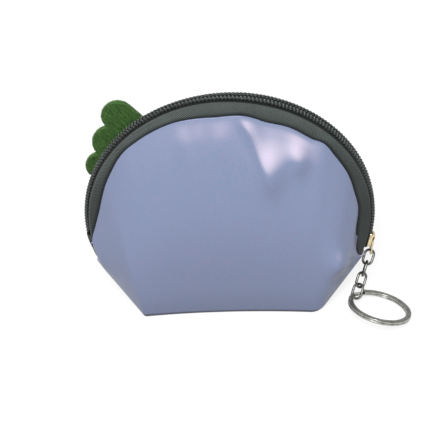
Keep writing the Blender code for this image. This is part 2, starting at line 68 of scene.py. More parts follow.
class Side(Enum):
    """The two halves of the purse, by the way that each faces along Y."""

    BACK = -1
    FRONT = 1

    @property
    def word(self) -> str:
        """Return the half's name as the pieces' names use it."""
        return self.name.lower()

    @property
    def way(self) -> Vector:
        """Return the direction that the half faces."""
        return Vector((0.0, self.value, 0.0))


def mix(first: float, second: float, share: float) -> float:
    """Return the value at a share of the way from first to second."""
    return first + (second - first) * share


def smooth(share: float) -> float:
    """Return a share eased in and out, held between 0 and 1."""
    share = min(1.0, max(0.0, share))
    return share * share * (3 - 2 * share)


def hump(place: float, centre: float, width: float) -> float:
    """Return a bell-shaped rise, 1 at its centre."""
    return math.exp(-(((place - centre) / width) ** 2))


def axes(origin: Vector, first: Vector, second: Vector, third: Vector) -> Matrix:
    """Return a frame at an origin, from its three axes."""
    return Matrix.Translation(origin) @ Matrix((first, second, third)).transposed().to_4x4()


class Socket:
    """One output of a node tree, with arithmetic that adds its Math nodes."""

    def __init__(self, shader: "Shader", socket: bpy.types.NodeSocket) -> None:
        """Keep the socket and the shader that it belongs to."""
        self.shader = shader
        self.socket = socket

    def math(self, operation: str, *others: "Socket | float") -> "Socket":
        """Return a Math node's result on this socket and others.

        Args:
            operation: The Math node's operation.
            others: Its further values, as sockets or numbers.

        Returns:
            The node's output.
        """
        sockets = dict(enumerate((self, *others)))
        return self.shader.node("ShaderNodeMath", {"operation": operation}, sockets)

    def __add__(self, other: "Socket | float") -> "Socket":
        """Return the sum."""
        return self.math("ADD", other)

    def __sub__(self, other: "Socket | float") -> "Socket":
        """Return the difference."""
        return self.math("SUBTRACT", other)

    def __rsub__(self, other: float) -> "Socket":
        """Return a number less this socket."""
        return (self * -1.0) + other

    def __mul__(self, other: "Socket | float") -> "Socket":
        """Return the product."""
        return self.math("MULTIPLY", other)

    def spread(self, low: float, high: float) -> "Socket":
        """Return a value from low to high, where this one runs from 0 to 1."""
        return self * (high - low) + low

    def ramp(self, low: float, high: float) -> "Socket":
        """Return a smooth rise from 0 at low to 1 at high.

        Args:
            low: The value that gives 0.
            high: The value that gives 1.

        Returns:
            The rise, from 0 to 1.
        """
        settings = {"interpolation_type": "SMOOTHSTEP"}
        values = {"Value": self, "From Min": low, "From Max": high}
        return self.shader.node("ShaderNodeMapRange", settings, values)


class Shader:
    """One material and the nodes that feed its Principled shader."""

    def __init__(self, name: str) -> None:
        """Start a material with an empty Principled shader.

        Args:
            name: The material's name.
        """
        self.material = bpy.data.materials.new(name)
        self.material.use_nodes = True
        self.tree = self.material.node_tree
        self.principled = self.tree.nodes["Principled BSDF"]

    def node(
        self,
        kind: str,
        settings: dict[str, object] | None = None,
        sockets: dict[str | int, object] | None = None,
        output: str | int = 0,
    ) -> Socket:
        """Add a node, with its settings first and then the values or links of its sockets.

        Args:
            kind: The node's type.
            settings: Its properties.
            sockets: Values or Sockets by the input's name or number.
            output: The output to return, by name or number.

        Returns:
            The chosen output.
        """
        node = self.tree.nodes.new(kind)
        for name, value in (settings or {}).items():
            setattr(node, name, value)
        for name, value in (sockets or {}).items():
            self.feed(node.inputs[name], value)
        return Socket(self, node.outputs[output])

    def feed(self, entry: bpy.types.NodeSocket, value: object) -> None:
        """Link a socket to a value's socket, or set it to the value.

        Args:
            entry: The input to feed.
            value: A Socket, or a plain value.
        """
        if isinstance(value, Socket):
            self.tree.links.new(value.socket, entry)
        else:
            entry.default_value = value

    def place(
        self, scale: Sequence[float] = (1, 1, 1), turn: Sequence[float] = (0, 0, 0),
        kind: str = "POINT",
    ) -> Socket:
        """Return the object's own coordinates through a Mapping node.

        Args:
            scale: The scale along each axis.
            turn: The turn about each axis, in radians.
            kind: POINT packs the pattern by the scale, TEXTURE draws it out.

        Returns:
            The coordinates, in metres where the scale is 1.
        """
        source = self.node("ShaderNodeTexCoord", output="Object")
        values = {"Vector": source, "Scale": tuple(scale), "Rotation": tuple(turn)}
        return self.node("ShaderNodeMapping", {"vector_type": kind}, values)

    def surface(self, uv_map: str = "") -> Socket:
        """Return the piece's own UV coordinates, or those of a named map."""
        return self.node("ShaderNodeUVMap", {"uv_map": uv_map})

    def axis(self, vector: Socket, name: str) -> Socket:
        """Return the X, Y or Z of a vector."""
        return self.node("ShaderNodeSeparateXYZ", None, {0: vector}, name)

    def upward(self) -> Socket:
        """Return how far the surface looks up, from -1 to 1."""
        return self.axis(self.node("ShaderNodeNewGeometry", output="Normal"), "Z")

    def noise(self, where: Socket, size: float, detail: float = 2.0, rough: float = 0.5) -> Socket:
        """Return smooth noise from 0 to 1 with blots of a given size in metres."""
        values = {"Vector": where, "Scale": 1 / size, "Detail": detail, "Roughness": rough}
        return self.node("ShaderNodeTexNoise", None, values)

    def blend(self, share: Socket | float, first: object, second: object) -> Socket:
        """Return a mix of two colours."""
        settings = {"data_type": "RGBA"}
        return self.node("ShaderNodeMix", settings, {0: share, 6: first, 7: second}, 2)

    def grey(self, value: Socket) -> Socket:
        """Return a grey of a varying brightness."""
        return self.node("ShaderNodeCombineColor", None, {0: value, 1: value, 2: value})

    def shade(self, tint: Socket, gain: Socket) -> Socket:
        """Return a colour times a varying brightness."""
        settings = {"data_type": "RGBA", "blend_type": "MULTIPLY"}
        return self.node("ShaderNodeMix", settings, {0: 1.0, 6: tint, 7: self.grey(gain)}, 2)

    def bump(self, height: Socket, distance: float, strength: float = 1.0) -> Socket:
        """Return a normal pushed by a height from 0 to 1 over a distance in metres."""
        values = {"Height": height, "Distance": distance, "Strength": strength}
        return self.node("ShaderNodeBump", None, values)

    def finish(self, **sockets: object) -> bpy.types.Material:
        """Feed the Principled shader.

        Args:
            sockets: Values or Sockets, by input, an underscore standing for a space.

        Returns:
            The material.
        """
        for name, value in sockets.items():
            self.feed(self.principled.inputs[name.replace("_", " ").title().replace("Ior", "IOR")], value)
        return self.material


def color(red: float, green: float, blue: float) -> tuple[float, float, float, float]:
    """Return a full colour for a node's socket."""
    return (red, green, blue, 1.0)


@dataclass(frozen=True)
class SatinCloth:
    """Coated satin cloth with a fine grain, a painted pale pink highlight where it looks up, and painted
    shade low down.
    """

    name: str = "lavender_satin"
    base: tuple[float, float, float] = (0.243, 0.292, 0.452)
    cool: tuple[float, float, float] = (0.218, 0.295, 0.452)
    warm: tuple[float, float, float] = (0.275, 0.291, 0.456)
    grain_size: float = 0.5 * MM
    mottle_size: float = 0.9 * MM
    drift_size: float = 26 * MM
    grain_height: float = 0.05 * MM
    grain_shade: float = 0.12
    # Painted contact shadow: a thin dark band just over the floor, along the bottom crease
    contact_shadow_low: float = 1.3 * MM
    contact_shadow_high: float = 2.4 * MM
    contact_shadow_gain: float = 0.28
    # Painted shade: the cloth darkens gently over its lowest centimetres, as under light from above
    low_shade_from: float = 1 * MM
    low_shade_to: float = 17 * MM
    low_shade_gain: float = 0.85
    # Painted highlight: a pale pink tint on faces that look up, held off the top edge by the seam
    painted_highlight: tuple[float, float, float] = (0.86, 0.76, 0.92)
    painted_highlight_from: float = 0.28
    painted_highlight_to: float = 0.62
    painted_highlight_edge: float = 125.6 * MM
    painted_highlight_fade: float = 3 * MM
    painted_highlight_share: float = 0.8
    roughness: float = 0.38
    roughness_play: float = 0.08

    def material(self) -> bpy.types.Material:
        """Return the material.

        Returns:
            The material.
        """
        make = Shader(self.name)
        where = make.place()
        grain = make.noise(where, self.grain_size, 3.0, 0.6)
        mottle = make.noise(where, self.mottle_size, 2.0)
        drift = make.noise(where, self.drift_size, 1.0)
        tint = make.blend(mottle.ramp(0.35, 0.65), color(*self.cool), color(*self.warm))
        tint = make.blend(drift.ramp(0.3, 0.7).spread(0.25, 0.75), tint, color(*self.base))
        height = make.axis(where, "Z")
        # Painted contact shadow: the cloth darkens in a thin band just over the floor
        hem = height.ramp(self.contact_shadow_low, self.contact_shadow_high).spread(self.contact_shadow_gain, 1.0)
        # Painted shade: darker towards the bottom, as under light from above
        low = height.ramp(self.low_shade_from, self.low_shade_to).spread(self.low_shade_gain, 1.0)
        # Painted highlight: faces that look up take a pale pink tint, but not along the top edge by the
        # seam
        across = make.axis(make.surface(), "Y")
        below = 1 - across.ramp(self.painted_highlight_edge - self.painted_highlight_fade, self.painted_highlight_edge)
        painted_highlight_mask = make.upward().ramp(self.painted_highlight_from, self.painted_highlight_to)
        tint = make.blend(painted_highlight_mask * below * self.painted_highlight_share, tint, color(*self.painted_highlight))
        speck = grain.spread(1 - self.grain_shade, 1 + self.grain_shade)
        # The grain's specks, the painted contact shadow and the painted low shade darken the tint
        tint = make.shade(tint, speck * hem * low)
        play = self.roughness_play
        return make.finish(
            base_color=tint,
            roughness=grain.spread(self.roughness - play, self.roughness + play),
            specular_tint=color(1.0, 0.86, 0.94),
            sheen_weight=0.12,
            sheen_roughness=0.4,
            normal=make.bump(grain, self.grain_height, 0.6),
        )


@dataclass(frozen=True)
class Plush:
    """Short brushed pile, combed one way, in locks of a deep and a light green."""

    name: str
    deep: tuple[float, float, float]
    light: tuple[float, float, float]
    comb_angle: float = math.radians(54)
    lock_width: float = 0.75 * MM
    lock_length_ratio: float = 6.0
    patch_size: float = 7 * MM
    nap_height: float = 0.35 * MM

    def material(self) -> bpy.types.Material:
        """Return the material.

        Returns:
            The material.
        """
        make = Shader(self.name)
        where = make.place((self.lock_length_ratio, 1, 1), (0, self.comb_angle, 0), "TEXTURE")
        locks = make.noise(where, self.lock_width, 2.0, 0.6)
        broad = make.noise(make.place(), self.patch_size, 1.0)
        share = locks.ramp(0.3, 0.72) * 0.8 + broad * 0.25
        tint = make.blend(share, color(*self.deep), color(*self.light))
        return make.finish(
            base_color=tint,
            roughness=locks.spread(0.85, 0.95),
            specular_ior_level=0.15,
            sheen_weight=0.25,
            sheen_roughness=0.5,
            normal=make.bump(locks, self.nap_height, 0.8),
        )


@dataclass(frozen=True)
class Twill:
    """Herringbone cloth, its ribs following the piece's own UV map, in metres, with painted shade where
    it is asked for.
    """

    name: str
    dark: tuple[float, float, float]
    light: tuple[float, float, float]
    rib_pitch: float = 0.82 * MM
    rib_slope: float = 0.8
    turn_at: float = 5.6 * MM
    fluff_size: float = 0.6 * MM
    fluff_shift: float = 0.3 * MM
    wear_size: float = 9 * MM
    height: float = 0.12 * MM
    # Painted shade: a near-black band across this stretch of the map, in the groove beside the coil
    groove_shade_from: float = 0.0
    groove_shade_to: float = 0.0
    edge_map: str = ""
    # Painted shadow: the tape darkens within this distance of the cloth's edge
    edge_shadow_width: float = 1.0 * MM
    # Painted shade: how bright the tape stays where it turns sideways, away from the light above
    painted_side_shade: float = 1.0

    def material(self) -> bpy.types.Material:
        """Return the material.

        Returns:
            The material.
        """
        make = Shader(self.name)
        flat = make.surface()
        along, across = make.axis(flat, "X"), make.axis(flat, "Y")
        fluff = make.noise(make.place(), self.fluff_size, 3.0, 0.7)
        aside = (across - self.turn_at).math("ABSOLUTE")
        phase = along + aside * self.rib_slope + fluff * self.fluff_shift
        wave = (phase * (2 * math.pi / self.rib_pitch)).math("SINE").spread(0.5, 1.0)
        wear = make.noise(make.place(), self.wear_size, 2.0)
        share = wave * 0.85 + fluff * 0.3 + wear * 0.4 - 0.37
        tint = make.blend(share, color(*self.dark), color(*self.light))
        # Painted shade: the groove beside the coil turns near-black
        if self.groove_shade_to > self.groove_shade_from:
            painted_groove_shade = 1 - across.ramp(self.groove_shade_from, self.groove_shade_to)
            tint = make.blend(painted_groove_shade * 0.94, tint, color(0.004, 0.006, 0.006))
        # Painted shade: the tape darkens where it turns sideways, away from the light above
        if self.painted_side_shade < 1:
            tint = make.shade(tint, make.upward().ramp(-0.05, 0.5).spread(self.painted_side_shade, 1.0))
        # Painted shadow: the tape darkens towards the edge of the cloth that lies over it
        if self.edge_map:
            shade = 1 - make.axis(make.surface(self.edge_map), "X").ramp(0.0, self.edge_shadow_width)
            tint = make.blend(shade * 0.85, tint, color(0.006, 0.009, 0.011))
        height = wave * 0.7 + fluff * 0.3
        return make.finish(
            base_color=tint,
            roughness=fluff.spread(0.8, 0.95),
            specular_ior_level=0.3,
            sheen_weight=0.15,
            normal=make.bump(height, self.height, 0.9),
        )


@dataclass(frozen=True)
class Moulded:
    """Dull plastic or thread with fine streaks."""

    name: str
    dark: tuple[float, float, float]
    light: tuple[float, float, float]
    blot: float = 0.8 * MM
    roughness: float = 0.45
    height: float = 0.03 * MM

    def material(self) -> bpy.types.Material:
        """Return the material.

        Returns:
            The material.
        """
        make = Shader(self.name)
        blots = make.noise(make.place(), self.blot, 3.0, 0.65)
        tint = make.blend(blots.ramp(0.3, 0.7), color(*self.dark), color(*self.light))
        return make.finish(
            base_color=tint,
            roughness=blots.spread(self.roughness - 0.1, self.roughness + 0.1),
            normal=make.bump(blots, self.height, 0.6),
        )


@dataclass(frozen=True)
class PlatedMetal:
    """Plated metal with fine scratches and duller, darker patches."""

    name: str
    bright: tuple[float, float, float]
    dull: tuple[float, float, float]
    roughness: float = 0.22
    patch_size: float = 1.8 * MM
    scratch_size: float = 0.48 * MM
    scratch_height: float = 0.0008 * MM

    def material(self) -> bpy.types.Material:
        """Return the material.

        Returns:
            The material.
        """
        make = Shader(self.name)
        patches = make.noise(make.place(), self.patch_size, 3.0, 0.6)
        lines = make.noise(make.place((1, 1, 9)), self.scratch_size, 3.0, 0.6)
        tint = make.blend(patches.ramp(0.4, 0.75), color(*self.bright), color(*self.dull))
        return make.finish(
            base_color=tint,
            metallic=1.0,
            roughness=patches * 0.22 + lines * 0.1 + (self.roughness - 0.14),
            normal=make.bump(lines, self.scratch_height, 0.4),
        )


@dataclass(frozen=True)
class Palette:
    """The finishes of all the pieces, under the record's slots and three names of their own."""

    lavender_cloth: SatinCloth = SatinCloth()
    green_plush: Plush = Plush("green_pile", (0.030, 0.090, 0.016), (0.085, 0.215, 0.040))
    lime_plush: Plush = Plush("lime_pile", (0.100, 0.260, 0.035), (0.200, 0.430, 0.080))
    # The zip tape carries painted shade in its groove, along the cloth's edge and on its sides
    zip_tape: Twill = Twill(
        "tape_twill", (0.020, 0.030, 0.031), (0.150, 0.172, 0.160), groove_shade_from=2.85 * MM,
        groove_shade_to=3.2 * MM, edge_map="edge", edge_shadow_width=1.5 * MM, painted_side_shade=0.5,
    )
    lining_cloth: Twill = Twill("lining_weave", (0.05, 0.06, 0.06), (0.13, 0.14, 0.14), 0.5 * MM)
    zip_coil: Moulded = Moulded("coil_nylon", (0.016, 0.022, 0.021), (0.070, 0.082, 0.077))
    cord: Moulded = Moulded("coil_cord", (0.005, 0.007, 0.007), (0.014, 0.018, 0.017))
    thread: Moulded = Moulded(
        "coil_thread", (0.07, 0.085, 0.078), (0.24, 0.26, 0.245), 0.5 * MM, 0.7
    )
    pale_gold: PlatedMetal = PlatedMetal(
        "pale_gold_plate", (0.80, 0.68, 0.44), (0.56, 0.47, 0.29), 0.3
    )
    chain_steel: PlatedMetal = PlatedMetal(
        "gunmetal_plate", (0.19, 0.19, 0.175), (0.11, 0.11, 0.10), 0.34
    )
    ring: PlatedMetal = PlatedMetal("ring_plate", (0.48, 0.48, 0.45), (0.27, 0.27, 0.25), 0.3)


class Bench:
    """Small jobs that every piece needs, done with Blender's own operators."""

    @staticmethod
    def clear_selection() -> None:
        """Deselect everything."""
        bpy.ops.object.select_all(action="DESELECT")

    @staticmethod
    def take(obj: bpy.types.Object) -> None:
        """Make one object the only one selected, and active.

        Args:
            obj: The object.
        """
        Bench.clear_selection()
        obj.select_set(True)
        bpy.context.view_layer.objects.active = obj

    @staticmethod
    def name(piece_name: str) -> bpy.types.Object:
        """Name the object that an operator has just added, and settle it at the origin.

        Args:
            piece_name: The name for the object and its mesh.

        Returns:
            The object.
        """
        obj = bpy.context.active_object
        obj.name = piece_name
        obj.data.name = piece_name
        bpy.ops.object.transform_apply(location=True, rotation=True, scale=True)
        return obj

    @staticmethod
    def add(
        piece_name: str, operator: Callable[..., set[str]], **settings: object,
    ) -> bpy.types.Object:
        """Add a primitive with nothing else selected, and name it.

        Args:
            piece_name: The new object's name.
            operator: Adds the primitive.
            settings: Its size, place and faces.

        Returns:
            The object.
        """
        Bench.clear_selection()
        operator(**settings)
        return Bench.name(piece_name)

    @staticmethod
    def link(name: str, data: bpy.types.ID) -> bpy.types.Object:
        """Put a new object for some data in the scene.

        Args:
            name: The object's name.
            data: What it holds.

        Returns:
            The object.
        """
        obj = bpy.data.objects.new(name, data)
        bpy.context.scene.collection.objects.link(obj)
        return obj

    @staticmethod
    def modify(obj: bpy.types.Object, kind: str, **settings: object) -> None:
        """Add a modifier with its settings and apply it.

        Args:
            obj: The object.
            kind: The modifier's type.
            settings: The modifier's properties.
        """
        Bench.take(obj)
        modifier = obj.modifiers.new(kind.lower(), kind)
        for setting, value in settings.items():
            setattr(modifier, setting, value)
        bpy.ops.object.modifier_apply(modifier=modifier.name)

    @staticmethod
    def sheet(
        piece_name: str, columns: int, rows: int, place: Callable[[float, float], Vector],
        span: tuple[float, float],
    ) -> bpy.types.Object:
        """Add a grid and lay each of its points where a rule says.

        Args:
            piece_name: The new piece's name.
            columns: Faces across.
            rows: Faces down.
            place: The rule, from the shares across and down to a point.
            span: The sheet's length and width in metres, which its UV map then measures.

        Returns:
            The sheet, one layer of four-sided faces.
        """
        obj = Bench.add(
            piece_name, bpy.ops.mesh.primitive_grid_add,
            x_subdivisions=columns, y_subdivisions=rows, size=1,
        )
        for vertex in obj.data.vertices:
            vertex.co = place(vertex.co.x + 0.5, vertex.co.y + 0.5)
        for loop in obj.data.uv_layers.active.data:
            loop.uv = (loop.uv[0] * span[0], loop.uv[1] * span[1])
        return obj

    @staticmethod
    def outwards(obj: bpy.types.Object) -> None:
        """Merge doubled points and turn all faces out.

        Args:
            obj: The object.
        """
        Bench.take(obj)
        bpy.ops.object.mode_set(mode="EDIT")
        bpy.ops.mesh.select_all(action="SELECT")
        bpy.ops.mesh.remove_doubles(threshold=MERGE_DISTANCE)
        bpy.ops.mesh.normals_make_consistent(inside=False)
        bpy.ops.object.mode_set(mode="OBJECT")

    @staticmethod
    def face_way(obj: bpy.types.Object, way: Sequence[float]) -> None:
        """Merge an open sheet's doubled points and turn its face to a way.

        Args:
            obj: The sheet.
            way: The direction that most of it looks in.
        """
        Bench.outwards(obj)
        facing = sum((face.normal * face.area for face in obj.data.polygons), Vector())
        if facing.dot(Vector(way)) < 0:
            obj.data.flip_normals()

    @staticmethod
    def wall(
        obj: bpy.types.Object, thickness: float, offset: float = -1.0, levels: int = 0,
        even: bool = False,
    ) -> bpy.types.Object:
        """Give a sheet its thickness, subdivide it and shade it smooth.

        Args:
            obj: The sheet.
            thickness: Its thickness in metres.
            offset: Where the wall lies: -1 under the sheet, 0 on both sides.
            levels: The levels of subdivision.
            even: Keeps the wall even in sharp corners.

        Returns:
            The piece.
        """
        Bench.modify(obj, "SOLIDIFY", thickness=thickness, offset=offset, use_even_offset=even)
        if levels:
            Bench.modify(obj, "SUBSURF", levels=levels, render_levels=levels)
        obj.data.shade_smooth()
        return obj

    @staticmethod
    def smooth_shade(obj: bpy.types.Object, angle: float = math.radians(40)) -> None:
        """Shade smooth up to an angle."""
        Bench.take(obj)
        bpy.ops.object.shade_smooth_by_angle(angle=angle)


@dataclass(frozen=True)
class Arch:
    """The zip's line, an arc about a point above the middle of the base."""

    radius: float = 58.2 * MM
    height: float = 38.7 * MM
    drop: float = math.radians(18)
    turned_from: float = math.radians(72)
    turned_to: float = math.radians(112)
    turned_share: float = 0.6

    def point(self, radius: float, angle: float, y: float = 0.0) -> Vector:
        """Return the point at a radius and angle about the arch's centre."""
        return Vector((radius * math.cos(angle), y, self.height + radius * math.sin(angle)))

    def squeeze(self, angle: float) -> float:
        """Return how much of its width the coil shows, less at the left where it is turned away."""
        left = smooth((angle - self.turned_from) / (self.turned_to - self.turned_from))
        return mix(1.0, self.turned_share, left)

    def length(self) -> float:
        """Return the zip's length."""
        return self.radius * (math.pi + 2 * self.drop)


@dataclass(frozen=True)
class Fold:
    """A soft ridge in the cloth that starts at the zip's seam."""

    run: float
    width: float
    rise: float
    reach: float
    lean: float = 0.0
    shoulder: float = 0.04
    start_share: float = 0.3

    def height(self, run: float, down: float) -> float:
        """Return how far the ridge stands out at a place on the face.

        Args:
            run: The share along the zip.
            down: The share down the face.

        Returns:
            The height in metres.
        """
        start = mix(self.start_share, 1.0, smooth(down / self.shoulder))
        fade = math.exp(-((down / self.reach) ** 2))
        return self.rise * start * fade * hump(run, self.run + self.lean * down, self.width)


@dataclass(frozen=True)
class Puff:
    """A round soft swelling of the cloth."""

    run: float
    down: float
    width: float
    reach: float
    rise: float
    shoulder: float = 0.04

    def height(self, run: float, down: float) -> float:
        """Return how far the swelling stands out at a place on the face.

        Args:
            run: The share along the zip.
            down: The share down the face.

        Returns:
            The height in metres.
        """
        edge = smooth(down / self.shoulder)
        across = math.exp(-(((down - self.down) / self.reach) ** 2))
        return self.rise * edge * across * hump(run, self.run, self.width)


@dataclass
class ClothBody:
    """The cut and seams of the body, the same as the solids', with the cloth's folds."""

    arch: Arch = field(default_factory=Arch)
    base_half_length: float = 36 * MM
    base_half_depth: float = 18 * MM
    crease_bow: float = 1.7 * MM
    crease_bow_share: float = 0.125
    bulge: float = 7.5 * MM
    bulge_rise_share: float = 0.7
    end_half_width: float = 3.6 * MM
    end_dip: float = 1.4 * MM
    end_out: float = 0.1 * MM
    base_seam_shift: float = 1.5 * MM
    ply_gap: float = 0.06 * MM
    side_share: float = 0.22
    panel_radius: float = 53.4 * MM
    tape_turn_y: float = 4.65 * MM
    tape_end_flare: float = 1.2 * MM
    tape_flare: float = 1.9 * MM
    panel_end_gap: float = 1.3 * MM
    close_from: float = math.radians(186.5)
    close_to: float = math.radians(196.8)
    closed_share: float = 0.06
    left_rounding_share: float = 0.006
    right_rounding_share: float = 0.03
    fold_low: float = 30 * MM
    fold_high: float = 58 * MM

    def opening(self, angle: float) -> float:
        """Return how far apart the halves are, as a share: at the left end they are sewn together."""
        share = smooth((angle - self.close_from) / (self.close_to - self.close_from))
        return mix(1.0, self.closed_share, share)

    def seam_y(self, angle: float) -> float:
        """Return how far from the middle plane the tape meets the panel.

        Args:
            angle: The angle about the arch's centre.

        Returns:
            The distance in metres.
        """
        run = (angle + self.arch.drop) / (math.pi + 2 * self.arch.drop)
        share = math.sin(math.pi * min(1.0, max(0.0, run)))
        reach = self.tape_turn_y + mix(self.tape_end_flare, self.tape_flare, share)
        return reach * self.opening(angle)

    def outline(self, run: float) -> tuple[float, float, float]:
        """Return a point of the lower outline.

        Args:
            run: The share along the outline, from its left end.

        Returns:
            Its x, its z and how far down it is, from 0 at the zip's ends to 1.
        """
        end = self.arch.point(self.arch.radius, -self.arch.drop)
        from_end = min(run, 1 - run) / self.side_share
        sign = -1 if run < 0.5 else 1
        if from_end < 1:
            x = sign * mix(end.x + self.end_out, self.base_half_length, from_end)
            return x, mix(end.z - self.end_dip, 0.0, from_end), from_end
        along = (run - self.side_share) / (1 - 2 * self.side_share)
        return mix(-self.base_half_length, self.base_half_length, along), 0.0, 1.0

    def rounded_outline(self, run: float) -> tuple[float, float, float]:
        """Return the lower outline with its two corners rounded.

        Args:
            run: The share along the outline, from its left end.

        Returns:
            Its x, its z and how far down it is.
        """
        for corner, reach in (
            (self.side_share, self.left_rounding_share),
            (1 - self.side_share, self.right_rounding_share),
        ):
            aside = (run - corner) / reach
            if abs(aside) < 1:
                share = (aside + 1) / 2
                first, middle, last = (
                    Vector(self.outline(corner + reach * side)) for side in (-1, 0, 1)
                )
                return tuple(first.lerp(middle, share).lerp(middle.lerp(last, share), share))
        return self.outline(run)

    def crease(self, run: float, side: Side) -> Vector:
        """Return a point of the fold between a face and the base or the end.

        Args:
            run: The share along the outline.
            side: The half of the body.

        Returns:
            The point.
        """
        x, z, down = self.rounded_outline(run)
        half_depth = mix(self.end_half_width, self.base_half_depth, down)
        middle = max(0.0, 1 - (x / self.base_half_length) ** 2)
        half_depth -= self.crease_bow * middle * smooth((down - 1) / self.crease_bow_share + 1)
        return Vector((x, side.value * half_depth, z))

    def seam(self, run: float, side: Side) -> Vector:
        """Return a point of the seam between the back and the front, under the base."""
        x, z, down = self.rounded_outline(run)
        return Vector((x, self.base_seam_shift * down + side.value * self.ply_gap / 2, z))

    def face(self, run: float, down: float, side: Side, lift: float = 0.0) -> Vector:
        """Return a point of a bulging face, from 0 at the tape to 1 at the crease.

        Args:
            run: The share along the zip, from its left end to its right end.
            down: The share down from the tape.
            side: The half of the body.
            lift: How far the face's top reaches out towards the tape.

        Returns:
            The point on the cloth's outer side.
        """
        drop = self.arch.drop + self.panel_end_gap / self.panel_radius
        angle = math.pi + drop - run * (math.pi + 2 * drop)
        top = self.arch.point(self.panel_radius + lift, angle, side.value * self.seam_y(angle))
        point = top.lerp(self.crease(run, side), down)
        swell = math.sin(math.pi * down) * math.sin(math.pi * run) ** self.bulge_rise_share
        point.y += side.value * self.bulge * swell
        return point


@dataclass
class ClothHalf:
    """One cloth half of the body: a hem rolled over the tape, the face, the crease and the base."""

    body: ClothBody
    side: Side
    name: str
    folds: tuple["Fold | Puff", ...] = ()
    seam_lifts: tuple[tuple[float, float], ...] = ()
    columns: int = 220
    face_rows: int = 60
    base_rows: int = 12
    hem_rows: int = 6
    roll_rows: int = 8
    roll_radius: float = 0.35 * MM
    thin_share: float = 0.1
    thin_least_share: float = 0.15
    hem_share: float = 0.05
    map_width: float = 150 * MM
    thickness: float = 0.3 * MM
    crease_rounding: float = 1.1 * MM
    face_rounding_share: float = 0.3
    base_rounding_share: float = 0.4
    least_length: float = 0.1 * MM
    ease_share: float = 0.35
    probe_down: float = 0.06
    probe_run: float = 0.01

    def lift(self, run: float) -> float:
        """Return how far the seam reaches up, on a smooth curve through its points.

        Args:
            run: The share along the zip, from its left end.

        Returns:
            The height in metres over the panel's plain edge.
        """
        if not self.seam_lifts:
            return 0.0
        places = self.seam_lifts[:1] + self.seam_lifts + self.seam_lifts[-1:]
        for before, first, second, after in zip(places, places[1:], places[2:], places[3:]):
            if first[0] <= run <= second[0]:
                span = second[0] - first[0]
                share = (run - first[0]) / span
                leave = (second[1] - before[1]) / (second[0] - before[0]) * span
                arrive = (after[1] - first[1]) / (after[0] - first[0]) * span
                rise = smooth(share)
                return (
                    mix(first[1], second[1], rise) + leave * share * (1 - share) ** 2
                    - arrive * share**2 * (1 - share)
                )
        return 0.0

    def edge_radius(self, angle: float) -> float:
        """Return how far out the cloth's edge is.

        Args:
            angle: The angle about the arch's centre.

        Returns:
            The radius about the arch's centre.
        """
        drop = self.body.arch.drop + self.body.panel_end_gap / self.body.panel_radius
        run = (math.pi + drop - angle) / (math.pi + 2 * drop)
        run = min(1.0, max(0.0, run))
        return self.body.panel_radius + self.lift(run) + 2 * self.roll_radius

    def outer(self, run: float, down: float) -> Vector:
        """Return a point of the folded face, on its outer side.

        Args:
            run: The share along the zip.
            down: The share down the face.

        Returns:
            The point.
        """
        point = self.body.face(run, down, self.side, self.lift(run) + self.roll_radius)
        rise = sum(fold.height(run, down) for fold in self.folds)
        point.y += self.side.value * rise * smooth(4 - 4 * down)
        return point

    def crossing(self, run: float) -> tuple[Vector, Vector]:
        """Return the directions down the face and out of it at the seam.

        Args:
            run: The share along the zip.

        Returns:
            The direction down the face, and the one out of it.
        """
        top = self.body.face(run, 0.0, self.side)
        below = self.body.face(run, self.probe_down, self.side)
        ahead = self.body.face(min(1.0, run + self.probe_run), 0.0, self.side)
        behind = self.body.face(max(0.0, run - self.probe_run), 0.0, self.side)
        down = (below - top).normalized()
        out = (ahead - behind).cross(down).normalized()
        if out.y * self.side.value < 0:
            out.negate()
        return down, out

    def row_plan(self) -> list[tuple[str, float]]:
        """Return the rows of the sheet, from the hem to the seam under the base.

        Returns:
            Each row's stretch and its share along that stretch.
        """
        plan = [("hem", 1 - step / self.hem_rows) for step in range(self.hem_rows)]
        plan += [("roll", step / self.roll_rows) for step in range(self.roll_rows)]
        plan += [("face", step / self.face_rows) for step in range(self.face_rows)]
        plan += [("base", step / self.base_rows) for step in range(self.base_rows + 1)]
        return plan

    def section(self, run: float, row: tuple[str, float]) -> Vector:
        """Return the point of one row at a place along the zip.

        Args:
            run: The share along the zip.
            row: The row's stretch and its share along it.

        Returns:
            The point.
        """
        stretch, share = row
        if stretch in ("hem", "roll"):
            down, out = self.crossing(run)
            edge = self.outer(run, 0.0)
            thin = smooth(min(run, 1 - run) / self.thin_share)
            roll = self.roll_radius * mix(self.thin_least_share, 1.0, thin)
            middle = edge - out * roll
            if stretch == "roll":
                turn = math.pi * (1 - share)
                return middle + out * (math.cos(turn) * roll) - down * (math.sin(turn) * roll)
            inner = self.outer(run, self.hem_share * thin * share)
            return inner - out * 2 * roll
        if stretch == "face":
            return self.softened(run, mix(share, smooth(share), self.ease_share))
        return self.softened(run, 1.0 + share)

    def softened(self, run: float, place: float) -> Vector:
        """Return a point of face and base, with the crease between them rounded.

        Args:
            run: The share along the zip.
            place: From 0 at the tape over 1 at the crease to 2 at the seam.

        Returns:
            The point.
        """
        middle = self.body.crease(run, self.side)
        face_length = max((self.body.face(run, 0, self.side) - middle).length, self.least_length)
        base_length = max((self.body.seam(run, self.side) - middle).length, self.least_length)
        face_reach = min(self.face_rounding_share, self.crease_rounding / face_length)
        base_reach = min(self.base_rounding_share, self.crease_rounding / base_length)
        if 1 - face_reach < place < 1 + base_reach:
            share = (place - 1 + face_reach) / (face_reach + base_reach)
            first = self.outer(run, 1 - face_reach)
            last = self.on_base(run, base_reach)
            return first.lerp(middle, share).lerp(middle.lerp(last, share), share)
        if place <= 1:
            return self.outer(run, place)
        return self.on_base(run, place - 1)

